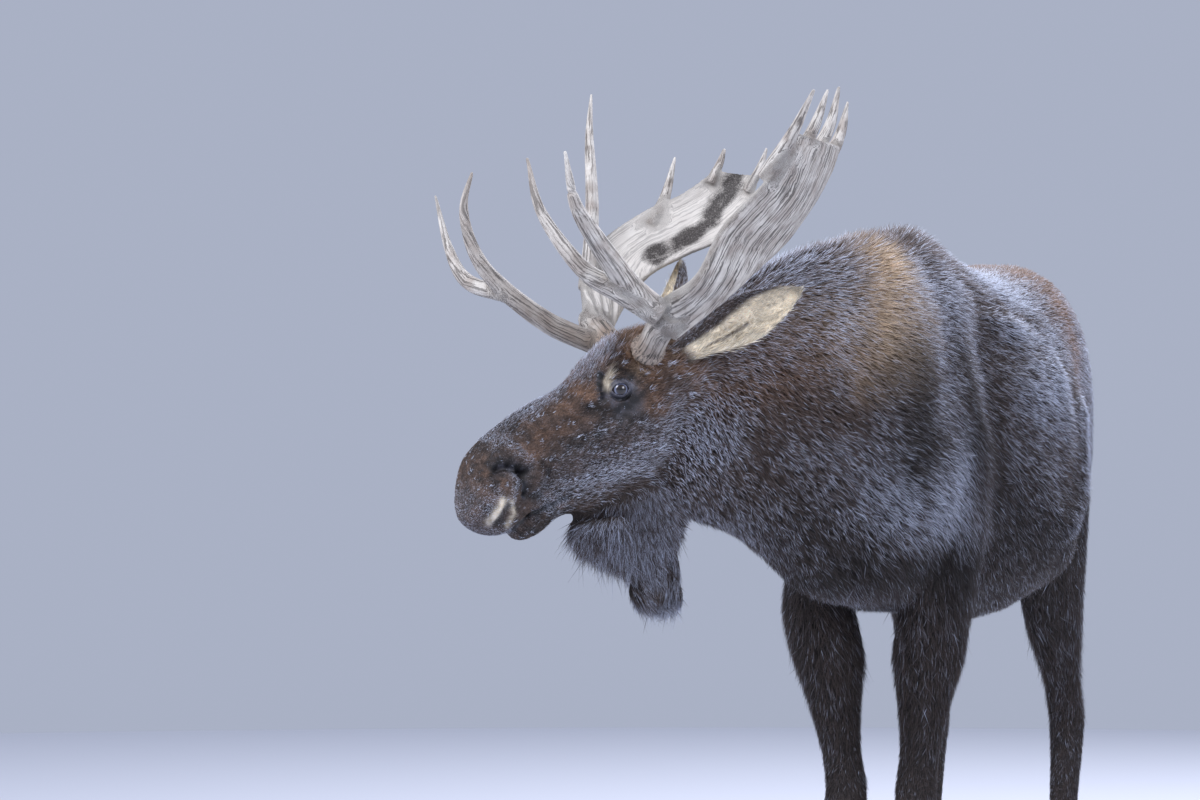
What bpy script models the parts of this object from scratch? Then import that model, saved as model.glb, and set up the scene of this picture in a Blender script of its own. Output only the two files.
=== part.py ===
"""A bull moose in its winter coat, standing, with its neck and head turned to its right.

Metres, +Z up. The animal faces -Y and its left side is +X. The shapes below are placed in the body's
own frame, whose origin is on the floor under the withers, and an empty then moves them all, so that the
origin of the finished model is on the floor at the middle of its box.

The body is lofted in lengths, melted into one closed form and parted again by thin cuts, so that every
length meets its neighbour. Antlers are made the same way. Ears, eyes, hooves and the tail sit in sockets
of their own.
"""

import math
from typing import NamedTuple

import bmesh
import bpy
import numpy as np
from mathutils import Matrix, Vector

# --------------------------------------------------------------------------------------------------
# Driving dimensions
# --------------------------------------------------------------------------------------------------
GAP = 0.0004  # left between lengths parted by a cut
SOCKET_GAP = 0.0012  # left round a piece that sits in a socket
MODEL_SHIFT = Vector((0.288, -0.176, 0.0))  # from the body's own frame to the middle of the model's box

HUMP_TOP = 1.90  # tips of the mane over the withers
CROUP_TOP = 1.805
BELLY_LOW = 0.95
ELBOW_CUT = 0.93  # the height where the forelegs are parted from the trunk
STIFLE_CUT = 0.945  # the height where the hind legs are parted from the trunk
KNEE = 0.57
HOCK = 0.69
FETLOCK = 0.19
CORONET = 0.088
FORE_CORONET, HIND_CORONET = -0.105, 1.218  # where the legs reach it, from front to back
HIND_FOOT = 0.150  # how far from the middle the hind feet stand
FORELEG_SET = -0.085  # how far ahead of the withers the forefeet stand
LEFT_ELBOW, LEFT_KNEE = 0.122, 0.090  # how far from the middle they stand
RIGHT_ELBOW, RIGHT_KNEE = 0.148, 0.076
HIND_STRIDE = 0.20  # how far the right hind foot stands ahead of the left

HEAD_SEAT = Vector((-0.424, -0.693, 1.624))  # midway between the antlers' burrs
HEAD_TURN = math.radians(-52)  # to the animal's right, from straight ahead
HEAD_PITCH = math.radians(32.7)  # nose down
EYE_RADIUS = 0.0195
EYE = Vector((0.102, 0.0955, -0.038))  # of the left eye, in the head's frame

NECK_BASE_TOP = Vector((0, -0.02, 1.85))  # the slanting cut between neck and shoulders
NECK_BASE_LOW = Vector((0, -0.34, 1.15))
POLL = -0.165  # the cut between head and neck, ahead of the seat of the antlers
BELL_TOP = -0.405  # the cut above the bell, above the seat of the antlers
MOUTH_LINE = -0.168  # the cut between the jaws, in the head's frame
CHEEK = 0.20  # how far back it runs there
FORK_OUT = 0.195  # where the antlers' beams end, from the middle of the head
TINE_ROOM = 0.010  # round a tine, in its cutter

BODY_VOXEL = 0.012
BODY_TRIANGLES = 3350
ANTLER_VOXEL = 0.0042
ANTLER_TRIANGLES = 880
RING = 24  # points round a body section

# Directions: of the body's frame, and of the head's two frames, where +X is to the nose.
UPWARD, DOWNWARD = Vector((0, 0, 1)), Vector((0, 0, -1))
FORWARD, BACKWARD = Vector((0, -1, 0)), Vector((0, 1, 0))
TO_THE_NOSE = Vector((1, 0, 0))
OFF_EVERY_TINE = Vector((0.3, 0.2, 1))  # runs along none of them, so that no section turns over

# Colours of the coat, horn and antler, as the solids show them.
COAT_BROWN = (0.09, 0.065, 0.055)
COAT_GREY = (0.16, 0.15, 0.16)
EAR_CREAM = (0.55, 0.46, 0.34)
ANTLER_BONE = (0.42, 0.37, 0.31)
HOOF_HORN = (0.035, 0.03, 0.028)
EYE_BLACK = (0.012, 0.01, 0.012)


class Section(NamedTuple):
    """One cross-section: its centre, its half width, how far it rises and drops from there, and how
    square its upper and lower halves are, where 2 is an ellipse."""

    x: float
    y: float
    z: float
    half: float
    rise: float
    drop: float
    crown: float = 2.0
    keel: float = 2.0


# --------------------------------------------------------------------------------------------------
# Building blocks
# --------------------------------------------------------------------------------------------------
def clear_scene():
    """Removes whatever the file starts with."""
    for obj in list(bpy.data.objects):
        bpy.data.objects.remove(obj)


def make_collection(name):
    """A new collection in the scene."""
    made = bpy.data.collections.new(name)
    bpy.context.scene.collection.children.link(made)
    return made


def make_material(name, colour, roughness):
    """A Principled finish of one colour."""
    made = bpy.data.materials.new(name)
    made.use_nodes = True
    shader = made.node_tree.nodes["Principled BSDF"]
    shader.inputs["Base Color"].default_value = (*colour, 1.0)
    shader.inputs["Roughness"].default_value = roughness
    shader.inputs["Metallic"].default_value = 0.0
    return made


def add_object(name, mesh, collection):
    """A new object that shows this mesh."""
    made = bpy.data.objects.new(name, mesh)
    collection.objects.link(made)
    return made


def evaluated_mesh(obj):
    """The object's mesh with its modifiers applied."""
    bpy.context.view_layer.update()
    graph = bpy.context.evaluated_depsgraph_get()
    return bpy.data.meshes.new_from_object(obj.evaluated_get(graph))


def blended(rows, steps):
    """Rows of numbers with smooth in-between rows, so that a surface through them has no corner."""
    rows = np.array(rows, float)
    padded = np.vstack([2 * rows[0] - rows[1], rows, 2 * rows[-1] - rows[-2]])
    made = []
    for before, start, end, after in zip(padded, padded[1:], padded[2:], padded[3:]):
        for share in np.arange(steps) / steps:
            made.append(
                start
                + 0.5 * share * (end - before)
                + 0.5 * share**2 * (2 * before - 5 * start + 4 * end - after)
                + 0.5 * share**3 * (3 * start - before - 3 * end + after)
            )
    made.append(rows[-1])
    return np.array(made)


def power(value, exponent):
    """A signed power."""
    return math.copysign(abs(value) ** exponent, value)


def ring_points(section, side, up, count):
    """The points of one cross-section, in the plane of its side and up directions."""
    centre = Vector(section[:3])
    made = []
    for turn in np.arange(count) * (math.tau / count):
        across, along = math.cos(turn), math.sin(turn)
        shape, reach = (section.crown, section.rise) if along >= 0 else (section.keel, section.drop)
        made.append(
            centre
            + side * (section.half * power(across, 2 / shape))
            + up * (reach * power(along, 2 / shape))
        )
    return made


def ringed_mesh(name, rings):
    """A closed mesh over rings of points, the first and the last one filled."""
    bm = bmesh.new()
    rings = [[bm.verts.new(point) for point in ring] for ring in rings]
    for ring, following in zip(rings, rings[1:]):
        for index in range(len(ring)):
            after = (index + 1) % len(ring)
            bm.faces.new((ring[index], ring[after], following[after], following[index]))
    bm.faces.new(rings[0][::-1])
    bm.faces.new(rings[-1])
    bmesh.ops.recalc_face_normals(bm, faces=bm.faces)
    bmesh.ops.triangulate(bm, faces=bm.faces, quad_method="FIXED")
    mesh = bpy.data.meshes.new(name)
    bm.to_mesh(mesh)
    bm.free()
    return mesh


def loft(name, sections, up=UPWARD, facing=None, frame=Matrix(), steps=4, count=RING, grow=0.0):
    """A closed surface through cross-sections.

    The sections face along their own line, or all along facing. frame turns and moves the finished
    shape. grow makes it that much thicker, which gives the cutter of its socket.
    """
    rows = [Section(*row) for row in blended(sections, steps)]
    rings = []
    for index, section in enumerate(rows):
        ahead = Vector(rows[min(index + 1, len(rows) - 1)][:3])
        behind = Vector(rows[max(index - 1, 0)][:3])
        along = facing or (ahead - behind).normalized()
        side = along.cross(up).normalized()
        rise = side.cross(along).normalized()
        grown = section._replace(
            half=section.half + grow, rise=section.rise + grow, drop=section.drop + grow
        )
        rings.append([frame @ point for point in ring_points(grown, side, rise, count)])
    return add_object(name, ringed_mesh(name, rings), SOLIDS)


def mirrored(sections):
    """The same cross-sections on the animal's other side."""
    return [section._replace(x=-section.x) for section in sections]


def fuse(name, shapes, voxel, smoothing, triangles, dense=None):
    """Melts closed shapes into one and thins it to about that many triangles.

    dense says, for a point, how much of the thinning it is spared, from 0 to 1.
    """
    bm = bmesh.new()
    for shape in shapes:
        bm.from_mesh(shape.data)
        bpy.data.objects.remove(shape)
    mesh = bpy.data.meshes.new(name)
    bm.to_mesh(mesh)
    bm.free()
    fused = add_object(name, mesh, SOLIDS)
    remesh = fused.modifiers.new("Melt", "REMESH")
    remesh.mode = "VOXEL"
    remesh.voxel_size = voxel
    smooth = fused.modifiers.new("Smooth", "SMOOTH")
    smooth.factor = 0.5
    smooth.iterations = smoothing
    fused.data = evaluated_mesh(fused)
    fused.modifiers.clear()
    thin = fused.modifiers.new("Thin", "DECIMATE")
    thin.ratio = triangles / (2 * len(fused.data.polygons))
    if dense:
        group = fused.vertex_groups.new(name="thinning")
        for vertex in fused.data.vertices:
            group.add([vertex.index], 1 - dense(vertex.co), "REPLACE")
        thin.vertex_group = group.name
        thin.vertex_group_factor = 1.0
    fused.data = evaluated_mesh(fused)
    fused.modifiers.clear()
    fused.vertex_groups.clear()
    return fused


def block(name, frame, low, high, grow=0.0):
    """A box between two corners of a frame, as a cutter."""
    bm = bmesh.new()
    bmesh.ops.create_cube(bm, size=1)
    low, high = Vector(low) - Vector((grow,) * 3), Vector(high) + Vector((grow,) * 3)
    size = high - low
    for vertex in bm.verts:
        corner = Vector(vertex.co[axis] * size[axis] for axis in range(3))
        vertex.co = frame @ (corner + (low + high) / 2)
    mesh = bpy.data.meshes.new(name)
    bm.to_mesh(mesh)
    bm.free()
    return add_object(name, mesh, CUTTERS)


def cut(obj, cutter, operation):
    """Applies one Boolean to an object's mesh and removes the cutter."""
    step = obj.modifiers.new(operation, "BOOLEAN")
    step.operation = operation
    step.object = cutter
    obj.data = evaluated_mesh(obj)
    obj.modifiers.clear()
    bpy.data.objects.remove(cutter)


def part_off(body, name, frame, low, high):
    """Takes what lies in a box out of the body as its own object, with a thin gap left between the two."""
    piece = add_object(name, body.data.copy(), SOLIDS)
    cut(piece, block("cutter", frame, low, high), "INTERSECT")
    cut(body, block("cutter", frame, low, high, grow=GAP), "DIFFERENCE")
    return piece


# --------------------------------------------------------------------------------------------------
# Frames of the head
# --------------------------------------------------------------------------------------------------
def head_frames():
    """The head's own frame, with +X to the nose, +Y to the left and +Z up through the forehead, and the
    antlers' frame, which turns with the head but stays level."""
    turned = Matrix.Rotation(HEAD_TURN - math.radians(90), 4, "Z")
    seat = Matrix.Translation(HEAD_SEAT)
    return seat @ turned @ Matrix.Rotation(HEAD_PITCH, 4, "Y"), seat @ turned


# --------------------------------------------------------------------------------------------------
# The body's lengths
# --------------------------------------------------------------------------------------------------
def trunk_shapes():
    """The trunk, from the brisket over the hump to the rump."""
    return [
        loft(
            "trunk_form",
            [
                Section(0, -0.37, 1.20, 0.06, 0.10, 0.08),
                Section(0, -0.30, 1.22, 0.15, 0.26, 0.17),
                Section(0, -0.16, 1.25, 0.20, 0.48, 0.235),
                Section(0, 0.00, 1.27, 0.215, 0.618, 0.27),
                Section(0, 0.14, 1.28, 0.225, HUMP_TOP - 1.28 + 0.006, 0.285),
                Section(0, 0.30, 1.28, 0.24, 0.608, 0.30),
                Section(0, 0.46, 1.28, 0.28, 0.56, 0.315),
                Section(0, 0.66, 1.28, 0.320, 0.52, 1.28 - BELLY_LOW, 2.2),
                Section(0, 0.86, 1.29, 0.300, 0.51, 0.32, 2.5),
                Section(0, 1.03, 1.32, 0.274, 0.485, 0.29, 2.7),
                Section(0, 1.17, 1.36, 0.252, CROUP_TOP - 1.36, 0.27, 2.7),
                Section(0, 1.30, 1.39, 0.228, 0.385, 0.26, 2.6),
                Section(0, 1.41, 1.41, 0.17, 0.27, 0.21),
                Section(0, 1.46, 1.41, 0.08, 0.12, 0.12),
            ],
            facing=BACKWARD,
        )
    ]


def neck_shapes():
    """The neck, which leaves the shoulders straight ahead and bends to the right."""
    return [
        loft(
            "neck_form",
            [
                Section(0.00, 0.06, 1.45, 0.15, 0.44, 0.36, 1.9),
                Section(-0.01, -0.12, 1.46, 0.19, 0.444, 0.43, 1.9),
                Section(-0.05, -0.26, 1.47, 0.185, 0.425, 0.435, 1.8),
                Section(-0.115, -0.38, 1.485, 0.168, 0.382, 0.395, 1.8),
                Section(-0.20, -0.48, 1.49, 0.15, 0.315, 0.318, 1.8),
                Section(-0.29, -0.565, 1.49, 0.135, 0.245, 0.262, 1.8),
                Section(-0.36, -0.625, 1.50, 0.12, 0.185, 0.22, 1.9),
                Section(-0.42, -0.67, 1.50, 0.09, 0.12, 0.17, 2.0),
            ],
        )
    ]


def head_shapes(frame):
    """The skull with its long muzzle and overhanging lip, the lower jaw, and the bell under the throat."""
    skull = loft(
        "skull_form",
        [
            Section(-0.150, 0, -0.12, 0.06, 0.06, 0.08),
            Section(-0.115, 0, -0.11, 0.095, 0.105, 0.12),
            Section(-0.050, 0, -0.09, 0.108, 0.125, 0.15),
            Section(0.025, 0, -0.08, 0.112, 0.134, 0.17, 2.2),
            Section(0.090, 0, -0.07, 0.116, 0.113, 0.18, 2.4),
            Section(0.145, 0, -0.07, 0.106, 0.097, 0.17, 2.4),
            Section(0.205, 0, -0.07, 0.086, 0.094, 0.15, 2.2),
            Section(0.275, 0, -0.07, 0.074, 0.105, 0.12),
            Section(0.350, 0, -0.07, 0.070, 0.106, 0.10),
            Section(0.410, 0, -0.07, 0.078, 0.098, 0.105, 2.1, 2.2),
            Section(0.460, 0, -0.075, 0.083, 0.087, 0.108, 2.2, 2.3),
            Section(0.500, 0, -0.085, 0.074, 0.062, 0.085, 2.1, 2.2),
            Section(0.528, 0, -0.093, 0.052, 0.036, 0.052),
            Section(0.543, 0, -0.097, 0.024, 0.015, 0.020),
        ],
        facing=TO_THE_NOSE,
        frame=frame,
    )
    jaw = loft(
        "jaw_form",
        [
            Section(-0.06, 0, -0.19, 0.055, 0.06, 0.05),
            Section(0.00, 0, -0.19, 0.082, 0.08, 0.085),
            Section(0.09, 0, -0.19, 0.080, 0.08, 0.088),
            Section(0.18, 0, -0.19, 0.066, 0.07, 0.082),
            Section(0.27, 0, -0.185, 0.054, 0.055, 0.070),
            Section(0.345, 0, -0.182, 0.045, 0.04, 0.040),
            Section(0.405, 0, -0.185, 0.045, 0.03, 0.040),
            Section(0.445, 0, -0.190, 0.040, 0.02, 0.028),
            Section(0.464, 0, -0.192, 0.022, 0.01, 0.012),
        ],
        facing=TO_THE_NOSE,
        frame=frame,
    )
    return [skull, jaw]


def bell_shapes(frame):
    """The bell: a deep flap under the throat that ends in a hanging lock, in the antlers' level frame."""
    return [
        loft(
            "bell_form",
            [
                Section(0.010, 0, -0.26, 0.050, 0.11, 0.11),
                Section(0.006, 0, -0.34, 0.052, 0.145, 0.15),
                Section(0.004, 0, -0.405, 0.050, 0.15, 0.148),
                Section(-0.010, 0, -0.445, 0.045, 0.13, 0.12),
                Section(-0.045, 0, -0.475, 0.040, 0.09, 0.085),
                Section(-0.064, 0, -0.510, 0.036, 0.066, 0.062),
                Section(-0.066, 0, -0.550, 0.036, 0.070, 0.068),
                Section(-0.070, 0, -0.580, 0.030, 0.056, 0.052),
                Section(-0.074, 0, -0.600, 0.012, 0.024, 0.024),
            ],
            up=TO_THE_NOSE,
            facing=DOWNWARD,
            frame=frame,
        )
    ]


def foreleg_sections(elbow_x, knee_x):
    """A left foreleg, from the shoulder blade to below the coronet, with its elbow and knee that far from
    the middle."""
    set_y = FORELEG_SET
    return [
        Section(0.105, 0.14, 1.68, 0.045, 0.07, 0.07),
        Section(0.130, 0.10, 1.52, 0.070, 0.13, 0.13),
        Section(0.142, 0.04, 1.34, 0.078, 0.17, 0.17),
        Section(0.142, 0.00, 1.18, 0.082, 0.17, 0.18),
        Section(elbow_x, set_y + 0.055, 1.03, 0.090, 0.14, 0.16),
        Section(0.7 * elbow_x + 0.3 * knee_x, set_y + 0.045, 0.92, 0.090, 0.105, 0.11),
        Section(0.45 * elbow_x + 0.55 * knee_x, set_y + 0.035, 0.81, 0.067, 0.085, 0.085),
        Section(0.2 * elbow_x + 0.8 * knee_x, set_y + 0.025, 0.70, 0.050, 0.062, 0.062),
        Section(knee_x, set_y + 0.015, KNEE + 0.05, 0.050, 0.055, 0.055),
        Section(knee_x, set_y + 0.010, KNEE - 0.02, 0.051, 0.058, 0.052),
        Section(knee_x, set_y + 0.018, KNEE - 0.10, 0.039, 0.043, 0.043),
        Section(knee_x, set_y + 0.020, 0.34, 0.035, 0.042, 0.042),
        Section(knee_x, set_y + 0.020, 0.25, 0.037, 0.044, 0.044),
        Section(knee_x, set_y + 0.014, FETLOCK, 0.046, 0.052, 0.050),
        Section(knee_x, set_y - 0.004, 0.13, 0.045, 0.050, 0.046),
        Section(knee_x, FORE_CORONET, CORONET, 0.052, 0.058, 0.050),
        Section(knee_x, FORE_CORONET - 0.010, CORONET - 0.04, 0.052, 0.058, 0.050),
    ]


def hindleg_sections(stride):
    """The left hind leg, from the hip over the stifle and the hock to below the coronet, with the foot that
    far ahead of where it stands square."""
    hip, floor = 1.30, 0.30

    def stepped(y, z):
        share = min(max((hip - z) / (hip - floor), 0.0), 1.0)
        return y - stride * math.sin(share * math.pi / 2)

    line = (
        (0.100, 1.20, 1.62, 0.070, 0.12, 0.10),
        (0.135, 1.16, 1.44, 0.105, 0.20, 0.17),
        (0.145, 1.13, 1.26, 0.106, 0.225, 0.20),
        (0.148, 1.11, 1.11, 0.098, 0.195, 0.18),
        (0.150, 1.14, 0.99, 0.084, 0.145, 0.135),
        (0.152, 1.20, 0.88, 0.066, 0.098, 0.092),
        (0.152, 1.27, 0.78, 0.050, 0.066, 0.066),
        (0.152, 1.325, HOCK, 0.047, 0.062, 0.066),
        (0.152, 1.320, HOCK - 0.09, 0.042, 0.050, 0.052),
        (0.150, 1.300, 0.48, 0.037, 0.045, 0.046),
        (0.150, 1.282, 0.34, 0.035, 0.044, 0.044),
        (0.150, 1.270, 0.25, 0.037, 0.045, 0.045),
        (0.150, 1.255, FETLOCK, 0.045, 0.052, 0.050),
        (0.150, 1.235, 0.13, 0.044, 0.049, 0.046),
        (0.150, HIND_CORONET, CORONET, 0.051, 0.057, 0.050),
        (0.150, HIND_CORONET - 0.010, CORONET - 0.04, 0.051, 0.057, 0.050),
    )
    return [Section(x, stepped(y, z), z, half, rise, drop) for x, y, z, half, rise, drop in line]


def leg_shapes():
    """All four legs. A ring's rise is to the front and its drop to the back."""
    legs = (
        ("foreleg_left_form", foreleg_sections(LEFT_ELBOW, LEFT_KNEE)),
        ("foreleg_right_form", mirrored(foreleg_sections(RIGHT_ELBOW, RIGHT_KNEE))),
        ("hindleg_left_form", hindleg_sections(0.0)),
        ("hindleg_right_form", mirrored(hindleg_sections(HIND_STRIDE))),
    )
    return [loft(name, sections, up=FORWARD, facing=DOWNWARD, count=20) for name, sections in legs]


# --------------------------------------------------------------------------------------------------
# Antlers, in the head's level frame: forward, to the left, up from the seat between the burrs
# --------------------------------------------------------------------------------------------------
class Tine(NamedTuple):
    """A tapering point of an antler: where it starts, one or more bends on its way, its tip, and its root
    radius."""

    root: tuple
    bends: tuple
    tip: tuple
    radius: float


class Rib(NamedTuple):
    """A cross-section of the palm: its front edge, its rear edge, how deep it is cupped, and half its
    thickness."""

    front: tuple
    rear: tuple
    cup: float
    half: float


LEFT_PALM = (
    Rib((0.030, 0.200, 0.095), (-0.025, 0.200, 0.025), 0.000, 0.030),
    Rib((-0.016, 0.320, 0.155), (-0.160, 0.255, 0.155), 0.012, 0.018),
    Rib((-0.061, 0.369, 0.268), (-0.262, 0.244, 0.232), 0.022, 0.013),
    Rib((-0.142, 0.420, 0.371), (-0.331, 0.226, 0.308), 0.028, 0.011),
    Rib((-0.170, 0.455, 0.440), (-0.387, 0.220, 0.391), 0.028, 0.009),
    Rib((-0.195, 0.450, 0.480), (-0.410, 0.222, 0.450), 0.024, 0.007),
)
LEFT_TINES = {
    "brow_outer": Tine(
        (0.03, 0.225, 0.085),
        ((0.099, 0.235, 0.140), (0.205, 0.295, 0.243), (0.270, 0.330, 0.323)),
        (0.303, 0.350, 0.438),
        0.032,
    ),
    "brow_inner": Tine(
        (0.03, 0.225, 0.080),
        ((0.110, 0.225, 0.125), (0.200, 0.205, 0.180), (0.279, 0.160, 0.303)),
        (0.306, 0.140, 0.424),
        0.028,
    ),
    "point_1": Tine((-0.150, 0.400, 0.380), ((-0.182, 0.470, 0.470),), (-0.209, 0.530, 0.571), 0.020),
    "point_2": Tine((-0.230, 0.360, 0.400), ((-0.270, 0.395, 0.490),), (-0.298, 0.410, 0.574), 0.018),
    "point_3": Tine((-0.290, 0.300, 0.400), ((-0.345, 0.310, 0.490),), (-0.370, 0.310, 0.582), 0.018),
    "point_4": Tine((-0.350, 0.240, 0.380), ((-0.410, 0.222, 0.470),), (-0.438, 0.210, 0.551), 0.018),
}
RIGHT_PALM = (
    Rib((0.020, -0.200, 0.075), (-0.025, -0.200, 0.015), 0.000, 0.030),
    Rib((-0.016, -0.320, 0.155), (-0.140, -0.263, 0.144), 0.012, 0.018),
    Rib((-0.075, -0.350, 0.235), (-0.240, -0.246, 0.205), 0.020, 0.013),
    Rib((-0.200, -0.365, 0.310), (-0.331, -0.226, 0.248), 0.024, 0.011),
    Rib((-0.275, -0.345, 0.345), (-0.390, -0.222, 0.320), 0.024, 0.009),
    Rib((-0.345, -0.310, 0.400), (-0.415, -0.222, 0.390), 0.016, 0.007),
)
RIGHT_TINES = {
    "brow_inner": Tine(
        (0.010, -0.150, 0.005),
        ((0.119, -0.170, 0.052), (0.223, -0.175, 0.124), (0.297, -0.175, 0.204), (0.333, -0.165, 0.310)),
        (0.322, -0.140, 0.394),
        0.026,
    ),
    "brow_outer": Tine(
        (0.223, -0.175, 0.120),
        ((0.284, -0.260, 0.148), (0.309, -0.310, 0.219)),
        (0.328, -0.350, 0.343),
        0.020,
    ),
    "point_1": Tine(
        (-0.015, -0.290, 0.130),
        ((-0.060, -0.360, 0.302), (-0.108, -0.490, 0.472)),
        (-0.143, -0.560, 0.576),
        0.018,
    ),
    "point_2": Tine((-0.200, -0.350, 0.270), ((-0.245, -0.372, 0.335),), (-0.284, -0.400, 0.431), 0.018),
    "point_3": Tine((-0.330, -0.310, 0.370), ((-0.355, -0.310, 0.415),), (-0.367, -0.310, 0.449), 0.012),
    "point_4": Tine((-0.390, -0.235, 0.350), ((-0.416, -0.222, 0.405),), (-0.431, -0.215, 0.451), 0.012),
}
BURR_RADIUS, BEAM_RADIUS, TIP_RADIUS = 0.043, 0.032, 0.0035


def beam_sections(side):
    """The pedicle, the swollen burr and the short beam, on the side given as 1 for left and -1 for right."""
    lift = 0.012 if side > 0 else 0.0
    line = (
        (0.040, -0.045, BEAM_RADIUS),
        (0.075, -0.018, BEAM_RADIUS),
        (0.093, -0.006, BURR_RADIUS),
        (0.108, 0.003, BURR_RADIUS),
        (0.122, 0.012, BEAM_RADIUS + 0.002),
        (0.165, 0.032 + lift, BEAM_RADIUS),
        (0.205, 0.050 + lift, BEAM_RADIUS + 0.002),
        (0.235, 0.070 + lift, BEAM_RADIUS - 0.006),
    )
    return [Section(0.0, side * out, up, radius, radius, radius) for out, up, radius in line]


def tine_sections(tine):
    """A tine's cross-sections, thinning slowly at first and faster to the tip."""
    points = [tine.root, *tine.bends, tine.tip]
    made = []
    for index, point in enumerate(points):
        share = index / (len(points) - 1)
        radius = tine.radius + (TIP_RADIUS - tine.radius) * share**1.6
        made.append(Section(*point, radius, radius, radius))
    return made


def palm_shape(name, ribs, frame):
    """The palm: a cupped blade between its front and rear edges, with thick edges rounded off."""
    fronts = blended([rib.front for rib in ribs], 5)
    rears = blended([rib.rear for rib in ribs], 5)
    shapes = blended([(rib.cup, rib.half) for rib in ribs], 5)
    across = 13
    rings = []
    for index, (front, rear, (cup, half)) in enumerate(zip(fronts, rears, shapes)):
        ahead = (fronts + rears)[min(index + 1, len(fronts) - 1)]
        behind = (fronts + rears)[max(index - 1, 0)]
        growth = Vector(ahead - behind).normalized()
        span = Vector(rear - front)
        normal = span.cross(growth).normalized()
        if normal.z < 0:
            normal.negate()
        upper, lower = [], []
        for share in np.linspace(0, 1, across):
            sag = 4 * share * (1 - share)
            thickness = half * (0.35 + 0.65 * sag**0.5)
            middle = Vector(front) + span * share - normal * (cup * sag)
            upper.append(frame @ (middle + normal * thickness))
            lower.append(frame @ (middle - normal * thickness))
        rings.append(upper + lower[::-1])
    return add_object(name, ringed_mesh(name, rings), SOLIDS)


def antler(side, ribs, tines, level):
    """One whole antler, before it is parted at its forks."""
    name = "antler_left_palm" if side > 0 else "antler_right_palm"
    shapes = [loft("beam_form", beam_sections(side), frame=level, up=TO_THE_NOSE, count=16)]
    shapes.append(palm_shape("palm_form", ribs, level))
    for label, tine in tines.items():
        shapes.append(loft(label, tine_sections(tine), frame=level, up=OFF_EVERY_TINE, count=12))
    return fuse(name, shapes, ANTLER_VOXEL, 3, ANTLER_TRIANGLES)


# --------------------------------------------------------------------------------------------------
# Ears, eyes, tail and hooves
# --------------------------------------------------------------------------------------------------
class Ear(NamedTuple):
    """Where an ear grows, where it points and where its opening faces, in the head's level frame."""

    root: tuple
    tip: tuple
    faces: tuple


EARS = {
    "ear_left": Ear((-0.098, 0.100, 0.000), (-0.323, 0.220, 0.135), (0.43, 0.90, 0.0)),
    "ear_right": Ear((-0.098, -0.100, 0.000), (-0.245, -0.270, 0.193), (0.87, -0.2, 0.46)),
}
EAR_WALL = 0.009


def ear_solid(name, ear, frame, grow=0.0):
    """A cupped ear: a round stalk that opens into a deep leaf and closes to its tip. grow makes it thicker
    and fills its cup, which gives the cutter of its socket."""
    root, tip = Vector(ear.root), Vector(ear.tip)
    axis = (tip - root).normalized()
    face = Vector(ear.faces)
    face = (face - axis * face.dot(axis)).normalized()
    side = axis.cross(face)
    reach = (tip - root).length
    # Share of the length, half width, depth of the cup, and how far the cup is filled.
    profile = blended(
        [
            (-0.16, 0.020, 0.030, 1.0),
            (0.00, 0.030, 0.040, 1.0),
            (0.15, 0.037, 0.045, 0.8),
            (0.32, 0.050, 0.044, 0.1),
            (0.52, 0.056, 0.038, 0.0),
            (0.74, 0.042, 0.026, 0.0),
            (0.90, 0.022, 0.014, 0.0),
            (1.00, 0.006, 0.005, 0.0),
        ],
        1,
    )
    across = 7
    rings = []
    for share, half, depth, fill in profile:
        centre = root + axis * (share * reach - (grow if not rings else 0))
        outer, inner = [], []
        for angle in np.linspace(-math.pi / 2, math.pi / 2, across):
            hollow = (depth + grow) * math.cos(angle)
            point = centre + side * ((half + grow) * math.sin(angle)) - face * hollow
            wall = hollow + EAR_WALL + 2 * grow if grow else max(EAR_WALL, fill * hollow)
            outer.append(point - face * grow)
            inner.append(point + face * wall)
        rings.append([frame @ point for point in outer + inner[::-1]])
    return add_object(name, ringed_mesh(name, rings), SOLIDS)


def eye_ball(name, side, frame, grow=0.0):
    """An eyeball."""
    bm = bmesh.new()
    bmesh.ops.create_uvsphere(bm, u_segments=12, v_segments=7, radius=EYE_RADIUS + grow)
    for vertex in bm.verts:
        vertex.co = frame @ (vertex.co + Vector((EYE.x, side * EYE.y, EYE.z)))
    mesh = bpy.data.meshes.new(name)
    bm.to_mesh(mesh)
    bm.free()
    return add_object(name, mesh, SOLIDS)


def tail_solid(name):
    """The short tail, flat against the rump."""
    return loft(
        name,
        [
            Section(0, 1.39, 1.56, 0.030, 0.022, 0.022),
            Section(0, 1.445, 1.53, 0.034, 0.026, 0.026),
            Section(0, 1.480, 1.47, 0.032, 0.024, 0.024),
            Section(0, 1.490, 1.41, 0.022, 0.018, 0.018),
            Section(0, 1.488, 1.37, 0.006, 0.005, 0.005),
        ],
        up=Vector((0, 1, 0.2)),
        steps=2,
        count=10,
    )


def toe_sections(x, y):
    """One half of a cloven hoof, from the coronet to the floor."""
    half = 0.0255
    return [
        Section(x, y - 0.010, CORONET - GAP, half - 0.004, 0.044, 0.045),
        Section(x, y - 0.020, 0.060, half, 0.056, 0.052),
        Section(x, y - 0.028, 0.030, half + 0.001, 0.068, 0.058),
        Section(x, y - 0.034, 0.000, half + 0.002, 0.076, 0.060),
    ]


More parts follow.
